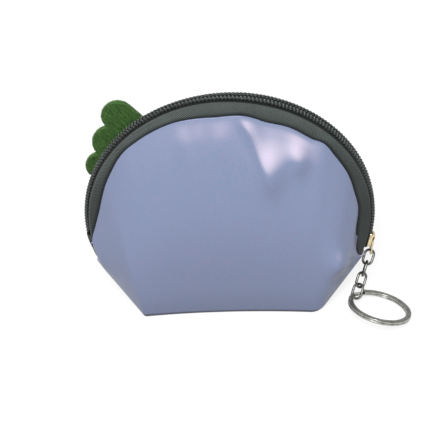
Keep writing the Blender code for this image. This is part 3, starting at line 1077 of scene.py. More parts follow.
    def on_base(self, run: float, share: float) -> Vector:
        """Return a point of the base or the end, from the crease to the seam."""
        return self.body.crease(run, self.side).lerp(self.body.seam(run, self.side), share)

    def build(self) -> bpy.types.Object:
        """Build the cloth.

        Returns:
            The finished cloth with its thickness.
        """
        plan = self.row_plan()
        last = len(plan) - 1

        def place(across: float, down: float) -> Vector:
            """Lay a grid point on its row."""
            return self.section(across, plan[round((1 - down) * last)])

        span = (self.body.arch.length(), self.map_width)
        obj = Bench.sheet(self.name, self.columns, last, place, span)
        Bench.face_way(obj, self.side.way)
        return Bench.wall(obj, self.thickness)


@dataclass
class Lining:
    """One half of the lining, a plain layer under the cloth."""

    body: ClothBody
    side: Side
    name: str
    seam_lift: Callable[[float], float]
    seam_gap: float = 0.5 * MM
    depth: float = 1.25 * MM
    thickness: float = 0.3 * MM
    end_share: float = 0.05
    base_share: float = 0.25
    map_size: tuple[float, float] = (200 * MM, 100 * MM)
    columns: int = 110
    rows: int = 40

    def build(self) -> bpy.types.Object:
        """Build the lining.

        Returns:
            The finished lining.
        """
        def place(across: float, down: float) -> Vector:
            """Lay a grid point on the face or the base.

            Args:
                across: The share along the sheet.
                down: The share over its rows.

            Returns:
                The point.
            """
            run = mix(self.end_share, 1 - self.end_share, across)
            share = (1 - down) * (1 + self.base_share)
            if share <= 1:
                lift = min(0.0, self.seam_lift(run)) - self.seam_gap
                return self.body.face(run, share, self.side, lift)
            crease = self.body.crease(run, self.side)
            return crease.lerp(self.body.seam(run, self.side), (share - 1) / self.base_share)

        obj = Bench.sheet(self.name, self.columns, self.rows, place, self.map_size)
        Bench.face_way(obj, self.side.way)
        offset = -1 - 2 * self.depth / self.thickness
        return Bench.wall(obj, self.thickness, offset, even=True)


@dataclass
class ZipTape:
    """One zip tape: flat under the coil, a groove beside it, then a turn down into the seam."""

    arch: Arch
    body: ClothBody
    side: Side
    name: str
    edge: Callable[[float], float]
    columns: int = 220
    radius: float = 57.15 * MM
    thickness: float = 0.5 * MM
    coil_edge_y: float = 0.35 * MM
    groove_shade_from_y: float = 2.45 * MM
    groove_y: float = 2.95 * MM
    groove_depth: float = 0.4 * MM
    ridge_y: float = 3.5 * MM
    ridge_rise: float = 0.15 * MM
    core_rise: float = 0.3 * MM
    bend_drop: float = 0.35 * MM
    seam_inset: float = 0.42 * MM
    tuck_inset: float = 0.38 * MM
    tuck: float = 1.7 * MM
    end_tuck_share: float = 0.25
    tuck_reach: float = math.radians(45)
    right_end: float = math.radians(-20.3)
    left_end: float = math.radians(194.6)

    def profile(self, angle: float) -> list[tuple[float, float]]:
        """Return the tape's section at an angle.

        Args:
            angle: The angle about the arch's centre.

        Returns:
            Its points as radius and y, from the coil to the seam.
        """
        wide = self.body.opening(angle)
        slim = self.arch.squeeze(angle)
        seam = self.body.seam_y(angle) / wide
        turn = self.body.tape_turn_y
        edge = self.edge(angle)
        bend = self.radius - self.bend_drop
        from_end = min(angle - self.right_end, self.left_end - angle)
        tuck = self.tuck * mix(self.end_tuck_share, 1.0, smooth(from_end / self.tuck_reach))
        points = [
            (self.radius + self.core_rise, self.coil_edge_y),
            (self.radius + self.core_rise, self.groove_shade_from_y * slim),
            (self.radius - self.groove_depth, self.groove_y * slim),
            (self.radius + self.ridge_rise, self.ridge_y * slim),
            (self.radius + self.ridge_rise, mix(self.ridge_y * slim, turn, 0.6)),
            (bend, turn),
            (mix(bend, edge, 0.4), mix(turn, seam, 0.42)),
            (mix(bend, edge, 0.75), mix(turn, seam, 0.7)),
            (edge - tuck * 0.18, seam - self.seam_inset),
            (edge - tuck * 0.6, seam - self.tuck_inset),
            (edge - tuck, seam - self.tuck_inset),
        ]
        return [(radius, y * wide) for radius, y in points]

    def build(self) -> bpy.types.Object:
        """Build the tape.

        Returns:
            The finished tape.
        """
        count = len(self.profile(0.0)) - 1

        def place(across: float, down: float) -> Vector:
            """Lay a grid point on the section at its angle.

            Args:
                across: The share along the sheet.
                down: The share over its rows.

            Returns:
                The point.
            """
            angle = mix(self.right_end, self.left_end, across)
            radius, y = self.profile(angle)[round(down * count)]
            return self.arch.point(radius, angle, self.side.value * y)

        obj = Bench.sheet(self.name, self.columns, count, place, (self.arch.length(), 1.0))
        self.measure_width(obj)
        Bench.face_way(obj, (0, 0, 1))
        return Bench.wall(obj, self.thickness, levels=1)

    def measure_width(self, obj: bpy.types.Object) -> None:
        """Let one UV map measure the way out from the middle, and one the way up from the seam.

        Args:
            obj: The tape.
        """
        uv = obj.data.uv_layers.active.data
        seam = obj.data.uv_layers.new(name="edge", do_init=False).data
        for loop in obj.data.loops:
            point = obj.data.vertices[loop.vertex_index].co
            radius = math.hypot(point.x, point.z - self.arch.height)
            angle = math.atan2(point.z - self.arch.height, point.x)
            if angle < -math.pi / 2:
                angle += 2 * math.pi
            fallen = max(0.0, self.radius - radius)
            slim = mix(self.arch.squeeze(angle), 1.0, smooth(abs(point.y) / self.ridge_y - 1.2))
            uv[loop.index].uv[1] = abs(point.y) / slim / self.body.opening(angle) + fallen
            seam[loop.index].uv = (radius - self.edge(angle), 0.0)


@dataclass
class TapeFold:
    """The folded end of a tape, which lies over the end of its coil half and narrows to a point."""

    arch: Arch
    body: ClothBody
    side: Side
    name: str
    start: float = math.radians(186.3)
    end: float = math.radians(194.6)
    top: float = 59.3 * MM
    thickness: float = 0.2 * MM
    map_size: tuple[float, float] = (12 * MM, 6 * MM)
    map_start: float = 4 * MM
    columns: int = 40

    def build(self) -> bpy.types.Object:
        """Build the fold.

        Returns:
            The finished fold.
        """
        section = (
            (self.top, 0.02 * MM), (self.top, 1.6 * MM), (self.top - 0.6 * MM, 2.4 * MM),
            (self.top - 1.5 * MM, 2.9 * MM), (self.top - 1.8 * MM, 3.6 * MM),
            (self.top - 2.2 * MM, 4.6 * MM),
        )

        def place(across: float, down: float) -> Vector:
            """Lay a grid point on the section at its angle.

            Args:
                across: The share along the sheet.
                down: The share over its rows.

            Returns:
                The point.
            """
            angle = mix(self.start, self.end, across)
            radius, y = section[round(down * (len(section) - 1))]
            return self.arch.point(radius, angle, self.side.value * y * self.body.opening(angle))

        obj = Bench.sheet(self.name, self.columns, len(section) - 1, place, self.map_size)
        plain = obj.data.uv_layers.new(name="edge", do_init=False).data
        for loop in obj.data.uv_layers[0].data:
            loop.uv[1] += self.map_start
        for loop in plain:
            loop.uv = (1.0, 0.0)
        Bench.face_way(obj, (-1, 0, 0))
        return Bench.wall(obj, self.thickness, levels=1)


@dataclass
class CoilHalf:
    """One half of the coil zip: slanted turns of filament and the threads sewn over them."""

    arch: Arch
    side: Side
    name: str
    pitch: float = 1.5 * MM
    centre_y: float = 1.46 * MM
    loop_radius: float = 0.73 * MM
    wire_radius: float = 0.24 * MM
    wire_stretch: float = 1.9
    slant: float = math.radians(16)
    thread_length: float = 0.72 * MM
    thread_width: float = 0.9 * MM
    thread_height: float = 0.34 * MM
    core_radius: float = 0.74 * MM
    thread_lift: float = 0.1 * MM
    right_end: float = math.radians(-16.6)
    left_end: float = math.radians(187)
    core_columns: int = 160
    core_rows: int = 10
    core_map_size: tuple[float, float] = (200 * MM, 5 * MM)

    def turns(self) -> int:
        """Return how many turns fit along the zip."""
        return math.floor((self.left_end - self.right_end) * self.arch.radius / self.pitch)

    def seat(self, lift: float) -> tuple[float, float, float]:
        """Return the place of the first turn, at the right end, lifted off the coil's line."""
        return (0.0, self.side.value * self.centre_y, self.arch.height - self.arch.radius - lift)

    def turn_about(self, obj: bpy.types.Object) -> None:
        """Copy the piece's one element all along the zip.

        Args:
            obj: The piece, which holds the element at the right end.
        """
        start = math.pi / 2 + self.right_end + self.pitch / 2 / self.arch.radius
        step = self.pitch / self.arch.radius
        centre = Vector((0.0, 0.0, self.arch.height))
        base = obj.data.copy()
        shape = bmesh.new()
        for index in range(self.turns()):
            angle = start + step * index
            turned = base.copy()
            spin = Matrix.Rotation(-angle, 4, "Y")
            slim = Matrix.Diagonal((1, self.arch.squeeze(angle - math.pi / 2), 1, 1))
            about = Matrix.Translation(centre) @ spin @ slim @ Matrix.Translation(-centre)
            turned.transform(about)
            shape.from_mesh(turned)
            bpy.data.meshes.remove(turned)
        shape.to_mesh(obj.data)
        shape.free()
        bpy.data.meshes.remove(base)

    def filament(self) -> bpy.types.Object:
        """Build all the turns of the filament.

        Returns:
            The turns, as one piece.
        """
        obj = Bench.add(
            self.name, bpy.ops.mesh.primitive_torus_add, location=self.seat(0.0),
            rotation=(0, math.pi / 2, self.side.value * self.slant), major_segments=14,
            minor_segments=6, major_radius=self.loop_radius, minor_radius=self.wire_radius,
        )
        obj.data.transform(Matrix.Diagonal((self.wire_stretch, 1, 1, 1)))
        self.turn_about(obj)
        obj.data.shade_smooth()
        return obj

    def core(self) -> bpy.types.Object:
        """Build the cord inside the turns, which closes the gaps between them.

        Returns:
            The cord.
        """
        def place(across: float, down: float) -> Vector:
            """Lay a grid point on the cord's round skin.

            Args:
                across: The share along the sheet.
                down: The share over its rows.

            Returns:
                The point.
            """
            angle = mix(self.right_end, self.left_end, across)
            turn = 2 * math.pi * down
            y = (self.centre_y + self.core_radius * math.cos(turn)) * self.arch.squeeze(angle)
            radius = self.arch.radius + self.core_radius * math.sin(turn)
            return self.arch.point(radius, angle, self.side.value * y)

        obj = Bench.sheet(
            self.name + "_core", self.core_columns, self.core_rows, place, self.core_map_size
        )
        Bench.outwards(obj)
        obj.data.shade_smooth()
        return obj

    def threads(self) -> bpy.types.Object:
        """Build the stitches that hold the turns, one over each.

        Returns:
            The stitches, as one piece.
        """
        obj = Bench.add(
            self.name + "_threads", bpy.ops.mesh.primitive_uv_sphere_add,
            segments=8, ring_count=6, radius=0.5,
        )
        size = Matrix.Diagonal((self.thread_length, self.thread_width, self.thread_height, 1))
        lift = self.core_radius + self.thread_lift
        lean = Matrix.Rotation(self.side.value * self.slant * 1.4, 4, "Z")
        obj.data.transform(Matrix.Translation(self.seat(lift)) @ lean @ size)
        self.turn_about(obj)
        obj.data.shade_smooth()
        return obj


@dataclass
class PileField:
    """Short pile on a cloth: thin tapered hairs, combed one way and leaning out of the cloth."""

    name: str
    count: int
    length: float = 1.1 * MM
    thickness: float = 0.11 * MM
    comb: Vector = field(default_factory=lambda: Vector((0.62, 0.0, -0.78)))
    lean: float = 0.75
    tangle: float = 0.16
    root_depth: float = 0.05 * MM
    seed: int = 7

    def grow(
        self, ground: bpy.types.Object, keep: Callable[[Vector, Vector], bool]
    ) -> bpy.types.Object:
        """Return the hairs that stand on a cloth.

        Args:
            ground: The cloth that they grow from.
            keep: Says whether a face at a centre, with a normal, grows hairs.

        Returns:
            One mesh of all the hairs.
        """
        draw = random.Random(self.seed)
        faces = [face for face in ground.data.polygons if keep(face.center, face.normal)]
        areas = np.cumsum([face.area for face in faces])
        corners = [tuple(v.co for v in (ground.data.vertices[i] for i in face.vertices))
                   for face in faces]
        hair = Bench.add(
            self.name, bpy.ops.mesh.primitive_cone_add,
            vertices=3, radius1=0.5, radius2=0, depth=1, end_fill_type="NOTHING",
        )
        shape = np.array([vertex.co for vertex in hair.data.vertices]) + (0, 0, 0.5)
        sides = [tuple(face.vertices) for face in hair.data.polygons]
        points: list[np.ndarray] = []
        loops: list[tuple[int, ...]] = []
        for _ in range(self.count):
            index = int(np.searchsorted(areas, draw.random() * areas[-1]))
            index = min(index, len(faces) - 1)
            normal = faces[index].normal
            first, second, third = corners[index][:3]
            last = corners[index][-1]
            across, along = draw.random(), draw.random()
            root = first.lerp(second, across).lerp(last.lerp(third, across), along)
            jitter = Vector([draw.gauss(0, self.tangle) for _ in range(3)])
            flat = self.comb - self.comb.project(normal)
            way = (normal + flat * self.lean * 2 + jitter).normalized()
            turn = way.to_track_quat("Z", "X").to_matrix()
            size = self.length * draw.uniform(0.7, 1.15)
            scaled = shape * (self.thickness, self.thickness, size)
            start = len(points) * len(shape)
            placed = scaled @ np.array(turn).T + np.array(root - normal * self.root_depth)
            points.append(placed)
            loops.extend(tuple(start + corner for corner in side) for side in sides)
        hair.data.clear_geometry()
        hair.data.from_pydata(np.concatenate(points).tolist(), [], loops)
        hair.data.update()
        hair.data.shade_smooth()
        return hair


@dataclass
class LeafLayer:
    """One puffed plush layer of the leaf crest, with three round lobes."""

    arch: Arch
    name: str
    middle_y: float
    rim: float
    start: float = math.radians(127.3)
    end: float = math.radians(162.9)
    inner: float = 53.7 * MM
    shoulder: float = -0.8 * MM
    thickness: float = 1.5 * MM
    lobe_angles: tuple[float, ...] = (math.radians(133.5), math.radians(144.8), math.radians(157.5))
    lobe_reaches: tuple[float, ...] = (4.1 * MM, -1.6 * MM, -2.7 * MM)
    lobe_radii: tuple[float, ...] = (6.3 * MM, 7.4 * MM, 5.9 * MM)
    map_size: tuple[float, float] = (40 * MM, 20 * MM)
    columns: int = 120
    rows: int = 14

    def outer(self, angle: float) -> float:
        """Return how far out the layer reaches at an angle.

        Args:
            angle: The angle about the arch's centre.

        Returns:
            The radius of the layer's edge.
        """
        far = self.arch.radius + self.shoulder + self.rim
        for lobe, reach, radius in zip(self.lobe_angles, self.lobe_reaches, self.lobe_radii):
            centre = self.arch.radius + reach
            aside = centre * math.sin(angle - lobe)
            if abs(aside) < radius + self.rim:
                span = math.sqrt((radius + self.rim) ** 2 - aside**2)
                far = max(far, centre * math.cos(angle - lobe) + span)
        return far

    def build(self) -> bpy.types.Object:
        """Build the layer.

        Returns:
            The finished layer.
        """
        def place(across: float, down: float) -> Vector:
            """Lay a grid point between the inner arc and the lobes.

            Args:
                across: The share along the sheet.
                down: The share over its rows.

            Returns:
                The point.
            """
            angle = mix(self.start, self.end, across)
            share = math.sin(down * math.pi / 2)
            return self.arch.point(mix(self.inner, self.outer(angle), share), angle, self.middle_y)

        obj = Bench.sheet(self.name, self.columns, self.rows, place, self.map_size)
        Bench.outwards(obj)
        return Bench.wall(obj, self.thickness, 0.0, levels=1)


@dataclass
class Slider:
    """The slider's casting: two plates on a post, side flanges and the crown over the pull."""

    arch: Arch
    length: float = 7 * MM
    half_width: float = 3.6 * MM
    stop_gap: float = 2 * MM
    outer_low: float = 59.4 * MM
    outer_plate: float = 0.5 * MM
    inner_high: float = 56.1 * MM
    inner_plate: float = 0.6 * MM
    flange: float = 0.6 * MM
    flange_depth: float = 1.5 * MM
    low_end: float = 2.9 * MM
    high_end: float = 3.5 * MM
    cap_centre: float = 58.0 * MM
    cap_top: float = 60.8 * MM
    cap_run: float = 0.3 * MM
    cap_half_length: float = 3.2 * MM
    cap_half_width: float = 3.3 * MM
    post_length: float = 1.6 * MM
    post_half_width: float = 0.26 * MM
    dome_centre: float = 59.4 * MM
    dome_half_length: float = 3.1 * MM
    dome_half_width: float = 2.1 * MM
    eye_half_length: float = 1.3 * MM
    crown_roof: float = 0.45 * MM
    crown_channel: float = 60.93 * MM
    edge_rounding: float = 0.9 * MM
    trough_rounding: float = 0.3 * MM
    plate_rounding: float = 0.25 * MM
    post_rounding: float = 0.15 * MM
    under_rounding: float = 0.2 * MM
    taper_share: float = 0.16
    lap: float = 0.2 * MM
    post_inset: float = 0.1 * MM
    under_lap: float = 0.1 * MM
    overrun: float = 1 * MM
    cut_reach: float = 4 * MM
    cut_half_length: float = 9 * MM

    def park(self) -> float:
        """Return the angle at which the slider is parked."""
        return -self.arch.drop + (self.length / 2 + self.stop_gap) / self.arch.radius

    def seat(self) -> Matrix:
        """Return the slider's frame: out along X, its run along Z."""
        return Matrix.Translation((0, 0, self.arch.height)) @ Matrix.Rotation(-self.park(), 4, "Y")

    def block(
        self, name: str, low: Sequence[float], high: Sequence[float], rounding: float,
        segments: int = 3,
    ) -> bpy.types.Object:
        """Return a block between two corners, with rounded edges.

        Args:
            name: The block's name.
            low: Its lowest corner, as radius, y and run.
            high: Its highest corner.
            rounding: The edges' radius.
            segments: The faces across a rounded edge.

        Returns:
            The block.
        """
        low, high = Vector(low), Vector(high)
        obj = Bench.add(
            name, bpy.ops.mesh.primitive_cube_add,
            size=1, location=(low + high) / 2, scale=high - low,
        )
        bpy.ops.object.mode_set(mode="EDIT")
        bpy.ops.mesh.select_all(action="SELECT")
        bpy.ops.mesh.bevel(offset=rounding, segments=segments, affect="EDGES")
        bpy.ops.object.mode_set(mode="OBJECT")
        return obj

    def shell(self) -> bpy.types.Object:
        """Build the outer plate with its flanges, narrowed towards its upper end.

        Returns:
            The start of the casting.
        """
        half = self.length / 2
        low = (self.outer_low - self.flange_depth, -self.half_width, -self.low_end)
        high = (self.outer_low + self.outer_plate, self.half_width, self.high_end)
        obj = self.block("slider_casting", low, high, self.edge_rounding, 6)
        trough = self.block(
            "slider_trough",
            (low[0] - self.overrun, -self.half_width + self.flange, -half - self.overrun),
            (self.outer_low, self.half_width - self.flange, half + self.overrun),
            self.trough_rounding,
        )
        self.combine(obj, trough, "DIFFERENCE")
        for vertex in obj.data.vertices:
            run = vertex.co.z / half
            vertex.co.y *= 1 - self.taper_share * smooth((run + 1) / 2)
        return obj

    def combine(self, obj: bpy.types.Object, other: bpy.types.Object, operation: str) -> None:
        """Join another block to the casting or cut it away, and remove the block."""
        Bench.modify(obj, "BOOLEAN", operation=operation, object=other, solver="EXACT")
        bpy.data.objects.remove(other, do_unlink=True)

    def dome(self, name: str, centre: float, run: float, radii: Sequence[float]) -> bpy.types.Object:
        """Return a rounded dome about a point on the middle line.

        Args:
            name: The dome's name.
            centre: Its centre's radius on the arch.
            run: Its centre's place along the run.
            radii: How far it reaches out, aside and along.

        Returns:
            The dome.
        """
        return Bench.add(
            name, bpy.ops.mesh.primitive_uv_sphere_add,
            segments=32, ring_count=16, radius=1, location=(centre, 0, run), scale=radii,
        )

    def build(self) -> bpy.types.Object:
        """Build the casting.

        Returns:
            The finished casting.
        """
        obj = self.shell()
        floor = self.outer_low + self.outer_plate
        wide = self.dome_half_width + self.cut_reach
        roof = self.crown_channel + self.crown_roof
        blocks = (
            ("inner_plate", (self.inner_high - self.inner_plate, -self.half_width, -self.low_end),
             (self.inner_high, self.half_width, self.high_end), self.plate_rounding),
            ("post",
             (self.inner_high - self.lap, -self.post_half_width, self.post_inset - self.low_end),
             (self.outer_low + self.lap, self.post_half_width, self.post_length - self.low_end),
             self.post_rounding),
        )
        for name, low, high, rounding in blocks:
            self.combine(obj, self.block("slider_" + name, low, high, rounding), "UNION")
        domes = (
            ("slider_cap", self.cap_centre, self.cap_run,
             (self.cap_top - self.cap_centre, self.cap_half_width, self.cap_half_length)),
            ("slider_crown", self.dome_centre, 0.0,
             (roof - self.dome_centre, self.dome_half_width, self.dome_half_length)),
        )
        for name, centre, run, radii in domes:
            dome = self.dome(name, centre, run, radii)
            under = self.block(
                name + "_under", (self.inner_high - self.cut_reach, -wide, -self.cut_half_length),
                (self.outer_low + self.under_lap, wide, self.cut_half_length),
                self.under_rounding,
            )
            eye = self.block(
                name + "_eye", (floor, -wide, -self.eye_half_length),
                (self.crown_channel, wide, self.eye_half_length), self.plate_rounding,
            )
            self.combine(dome, under, "DIFFERENCE")
            self.combine(dome, eye, "DIFFERENCE")
            self.combine(obj, dome, "UNION")
        obj.data.transform(self.seat())
        Bench.outwards(obj)
        Bench.smooth_shade(obj, math.radians(35))
        return obj


@dataclass
class Pull:
    """The flat pull, with an eye for the crown and a slot for the chain."""

    name: str = "pull_plate"
    half_width: float = 2.6 * MM
    thickness: float = 0.6 * MM
    bar: float = 0.55 * MM
    arm: float = 0.7 * MM
    eye_length: float = 3.5 * MM
    web: float = 1 * MM
    slot_length: float = 3.1 * MM
    slot_side: float = 0.8 * MM
    foot: float = 0.9 * MM
    hang: float = math.radians(7.5)
    edge_rounding: float = 0.14 * MM
    corner_steps: int = 10

    def slot_foot(self) -> float:
        """Return how far the slot's foot is below the bar's middle."""
        return self.bar / 2 + self.eye_length + self.web + self.slot_length

    def window(self, half_width: float, top: float, foot: float) -> list[tuple[float, float]]:
        """Return an outline with square upper corners and a round foot.

        Args:
            half_width: Half its width.
            top: How far its top is under the bar's middle.
            foot: How far its foot is under the bar's middle.

        Returns:
            Its points, as across and up.
        """
        points = [(-half_width, -top), (half_width, -top)]
        for step in range(self.corner_steps + 1):
            turn = -math.pi * step / self.corner_steps
            drop = -(foot - half_width) + half_width * math.sin(turn)
            points.append((half_width * math.cos(turn), drop))
        return points

    def build(self, pivot: Matrix) -> bpy.types.Object:
        """Build the pull.

        Args:
            pivot: The frame of the bar that it hangs on.

        Returns:
            The pull.
        """
        top = self.bar / 2
        eye_end = top + self.eye_length
        slot_end = self.slot_foot()
        inner = self.half_width - self.arm
        slot_half = self.half_width - self.slot_side
        eye = [(-inner, -top), (inner, -top), (inner, -eye_end), (-inner, -eye_end)]
        curve = bpy.data.curves.new(self.name, "CURVE")
        curve.dimensions = "2D"
        curve.fill_mode = "BOTH"
        curve.extrude = self.thickness / 2 - self.edge_rounding
        curve.bevel_depth = self.edge_rounding
        curve.bevel_resolution = 3
        curve.offset = -self.edge_rounding
        outline = self.window(self.half_width, -top, slot_end + self.foot)
        for loop in (outline, eye, self.window(slot_half, eye_end + self.web, slot_end)):
            Smith.line(curve, [(across, drop, 0.0) for across, drop in loop], closed=True)
        obj = Smith.to_mesh(curve, self.name)
        turn = Matrix.Rotation(math.pi / 2, 4, "Z") @ Matrix.Rotation(math.pi / 2, 4, "X")
        obj.data.transform(pivot @ turn)
        Bench.outwards(obj)
        Bench.smooth_shade(obj)
        return obj


class Smith:
    """Draws wires and outlines and turns them into meshes."""

    @staticmethod
    def line(
        curve: bpy.types.Curve, points: Sequence[Sequence[float]], closed: bool = False,
    ) -> None:
        """Add a line of straight steps to a curve.

        Args:
            curve: The curve.
            points: The line's points.
            closed: Joins the last point to the first.
        """
        spline = curve.splines.new("POLY")
        spline.points.add(len(points) - 1)
        for point, place in zip(spline.points, points):
            point.co = (*place, 1)
        spline.use_cyclic_u = closed

    @staticmethod
    def to_mesh(curve: bpy.types.Curve, name: str) -> bpy.types.Object:
        """Return a mesh object made from a curve.

        Args:
            curve: The curve.
            name: The object's name.

        Returns:
            The object.
        """
        Bench.take(Bench.link(name, curve))
        bpy.ops.object.convert(target="MESH")
        return Bench.name(name)


@dataclass
class Chain:
    """Four round-ended wire links, each turned against the one before."""

    link_length: float = 7.4 * MM
    link_width: float = 5.2 * MM
    wire_radius: float = 0.55 * MM
    gap: float = 0.2 * MM
    hook_gap: float = 0.5 * MM
    slope: float = math.radians(43)
    heading: float = math.radians(27)
    facing: float = math.radians(40)
    rolls: tuple[float, ...] = (
        math.radians(28), math.radians(90), math.radians(149), math.radians(208),
    )

    def bow(self) -> float:
        """Return the radius of a link's round ends on the wire's centre line."""
        return self.link_width / 2 - self.wire_radius

    def down(self) -> Vector:
        """Return the way that the chain runs.

        Returns:
            The direction.
        """
        level = math.cos(self.slope)
        return Vector((
            -level * math.sin(self.heading), -level * math.cos(self.heading),
            -math.sin(self.slope),
        ))

    def frame(self, origin: Vector, roll: float) -> Matrix:
        """Return a link's frame: its length along -Z, its flat side along X.

        Args:
            origin: The middle of the link's upper bow.
            roll: The link's turn about the chain's line.

        Returns:
            The frame.
        """
        down = self.down()
        facing = Vector((0.0, -math.cos(self.facing), math.sin(self.facing)))
        facing = (facing - facing.project(down)).normalized()
        facing = Matrix.Rotation(roll, 3, down) @ facing
        return axes(origin, facing, (-down).cross(facing), -down)

    def link(self, name: str, place: Matrix) -> bpy.types.Object:
        """Build one link: a wire ring drawn out along its length.

        Args:
            name: The link's name.
            place: Its frame.

        Returns:
            The link.
        """
        obj = Bench.add(
            name, bpy.ops.mesh.primitive_torus_add, rotation=(0, math.pi / 2, 0),
            major_segments=48, minor_segments=16,
            major_radius=self.bow(), minor_radius=self.wire_radius,
        )
        bpy.ops.object.mode_set(mode="EDIT")
        bpy.ops.mesh.select_all(action="DESELECT")
        shape = bmesh.from_edit_mesh(obj.data)
        for vertex in shape.verts:
            vertex.select_set(vertex.co.z < -MERGE_DISTANCE)
        shape.select_flush(True)
        bmesh.update_edit_mesh(obj.data)
        bpy.ops.transform.translate(value=(0, 0, self.link_width - self.link_length))
        bpy.ops.object.mode_set(mode="OBJECT")
        obj.data.transform(place)
        obj.data.shade_smooth()
        return obj

    def build(self, start: Vector) -> tuple[list[bpy.types.Object], Matrix]:
        """Build the links, each from where the one before holds it.

        Args:
            start: Where the first link's wire hangs.

        Returns:
            The links, and the last one's frame.
        """
        pitch = self.link_length - 4 * self.wire_radius - self.gap
        place = start + self.down() * self.bow()
        links = []
        last = Matrix.Identity(4)
        for index, roll in enumerate(self.rolls):
            last = self.frame(place, roll)
            links.append(self.link(f"wire_link_{index + 1}", last))
            place = place + self.down() * pitch
        return links, last


@dataclass
class SplitRing:
    """The split ring: two turns of flat wire with rounded edges."""

    chain: Chain
    name: str = "key_ring"
    outer_radius: float = 13 * MM
    held_width: float = 1.6 * MM
    held_height: float = 1.7 * MM
    wire_width: float = 2.1 * MM
    wire_height: float = 0.83 * MM
    turn_gap: float = 0.06 * MM
    tilt: float = math.radians(18.4)
    tilt_heading: float = math.radians(47)
    hang: float = math.radians(136)
    start: float = math.radians(19)
    jog: float = math.radians(30)
    end_gap: float = math.radians(4)
    steps: int = 240
    corner: float = 0.2 * MM
    corner_steps: int = 3

    def frame(self, last_link: Matrix) -> Matrix:
        """Return the ring's frame where the last link holds it.

        Args:
            last_link: The last link's frame.

        Returns:
            The frame.
        """
        reach = math.hypot(self.held_width, self.held_height) / 2
        bottom = self.chain.link_width - self.chain.link_length - self.chain.bow()
        lift = self.chain.wire_radius + reach + self.chain.gap
        contact = last_link @ Vector((0, 0, bottom + lift))
        lean = Vector((
            math.sin(self.tilt) * math.sin(self.tilt_heading),
            math.sin(self.tilt) * math.cos(self.tilt_heading),
            math.cos(self.tilt),
        ))
        out = Vector((math.cos(self.hang), math.sin(self.hang), 0))
        out = (out - out.project(lean)).normalized()
        return axes(contact, out, lean.cross(out), lean)

    def section(self) -> bpy.types.Object:
        """Draw the flat wire's section with its rounded corners.

        Returns:
            A curve, which is removed when the ring is built.
        """
        curve = bpy.data.curves.new("ring_section", "CURVE")
        curve.dimensions = "2D"
        across = self.wire_width / 2 - self.corner
        up = self.wire_height / 2 - self.corner
        points = []
        for quarter, (x, y) in enumerate(((across, up), (-across, up), (-across, -up), (across, -up))):
            for step in range(self.corner_steps + 1):
                turn = math.pi / 2 * (quarter + step / self.corner_steps)
                reach = self.corner * math.cos(turn), self.corner * math.sin(turn)
                points.append((x + reach[0], y + reach[1], 0.0))
        Smith.line(curve, points[::-1], closed=True)
        return Bench.link("ring_section", curve)

    def build(self, last_link: Matrix) -> bpy.types.Object:
        """Build the ring.

        Args:
            last_link: The last link's frame.

        Returns:
            The ring.
        """
        section = self.section()
        curve = bpy.data.curves.new(self.name, "CURVE")
        curve.dimensions = "3D"
        curve.bevel_mode = "OBJECT"
        curve.bevel_object = section
        curve.twist_mode = "Z_UP"
        curve.use_fill_caps = True
        radius = self.outer_radius - self.held_width / 2
        rise = self.wire_height + self.turn_gap
        sweep = 4 * math.pi - self.jog - 2 * self.end_gap
        points = []
        for step in range(self.steps + 1):
            run = sweep * step / self.steps
            climb = smooth((run - (sweep - self.jog) / 2) / self.jog)
            turn = self.start + run
            points.append((
                radius * math.cos(turn) - radius, radius * math.sin(turn),
                rise * climb - rise / 2,
            ))
        Smith.line(curve, points)
        obj = Smith.to_mesh(curve, self.name)
        bpy.data.objects.remove(section, do_unlink=True)
        obj.data.transform(self.frame(last_link))
        Bench.outwards(obj)
        Bench.smooth_shade(obj)
        return obj


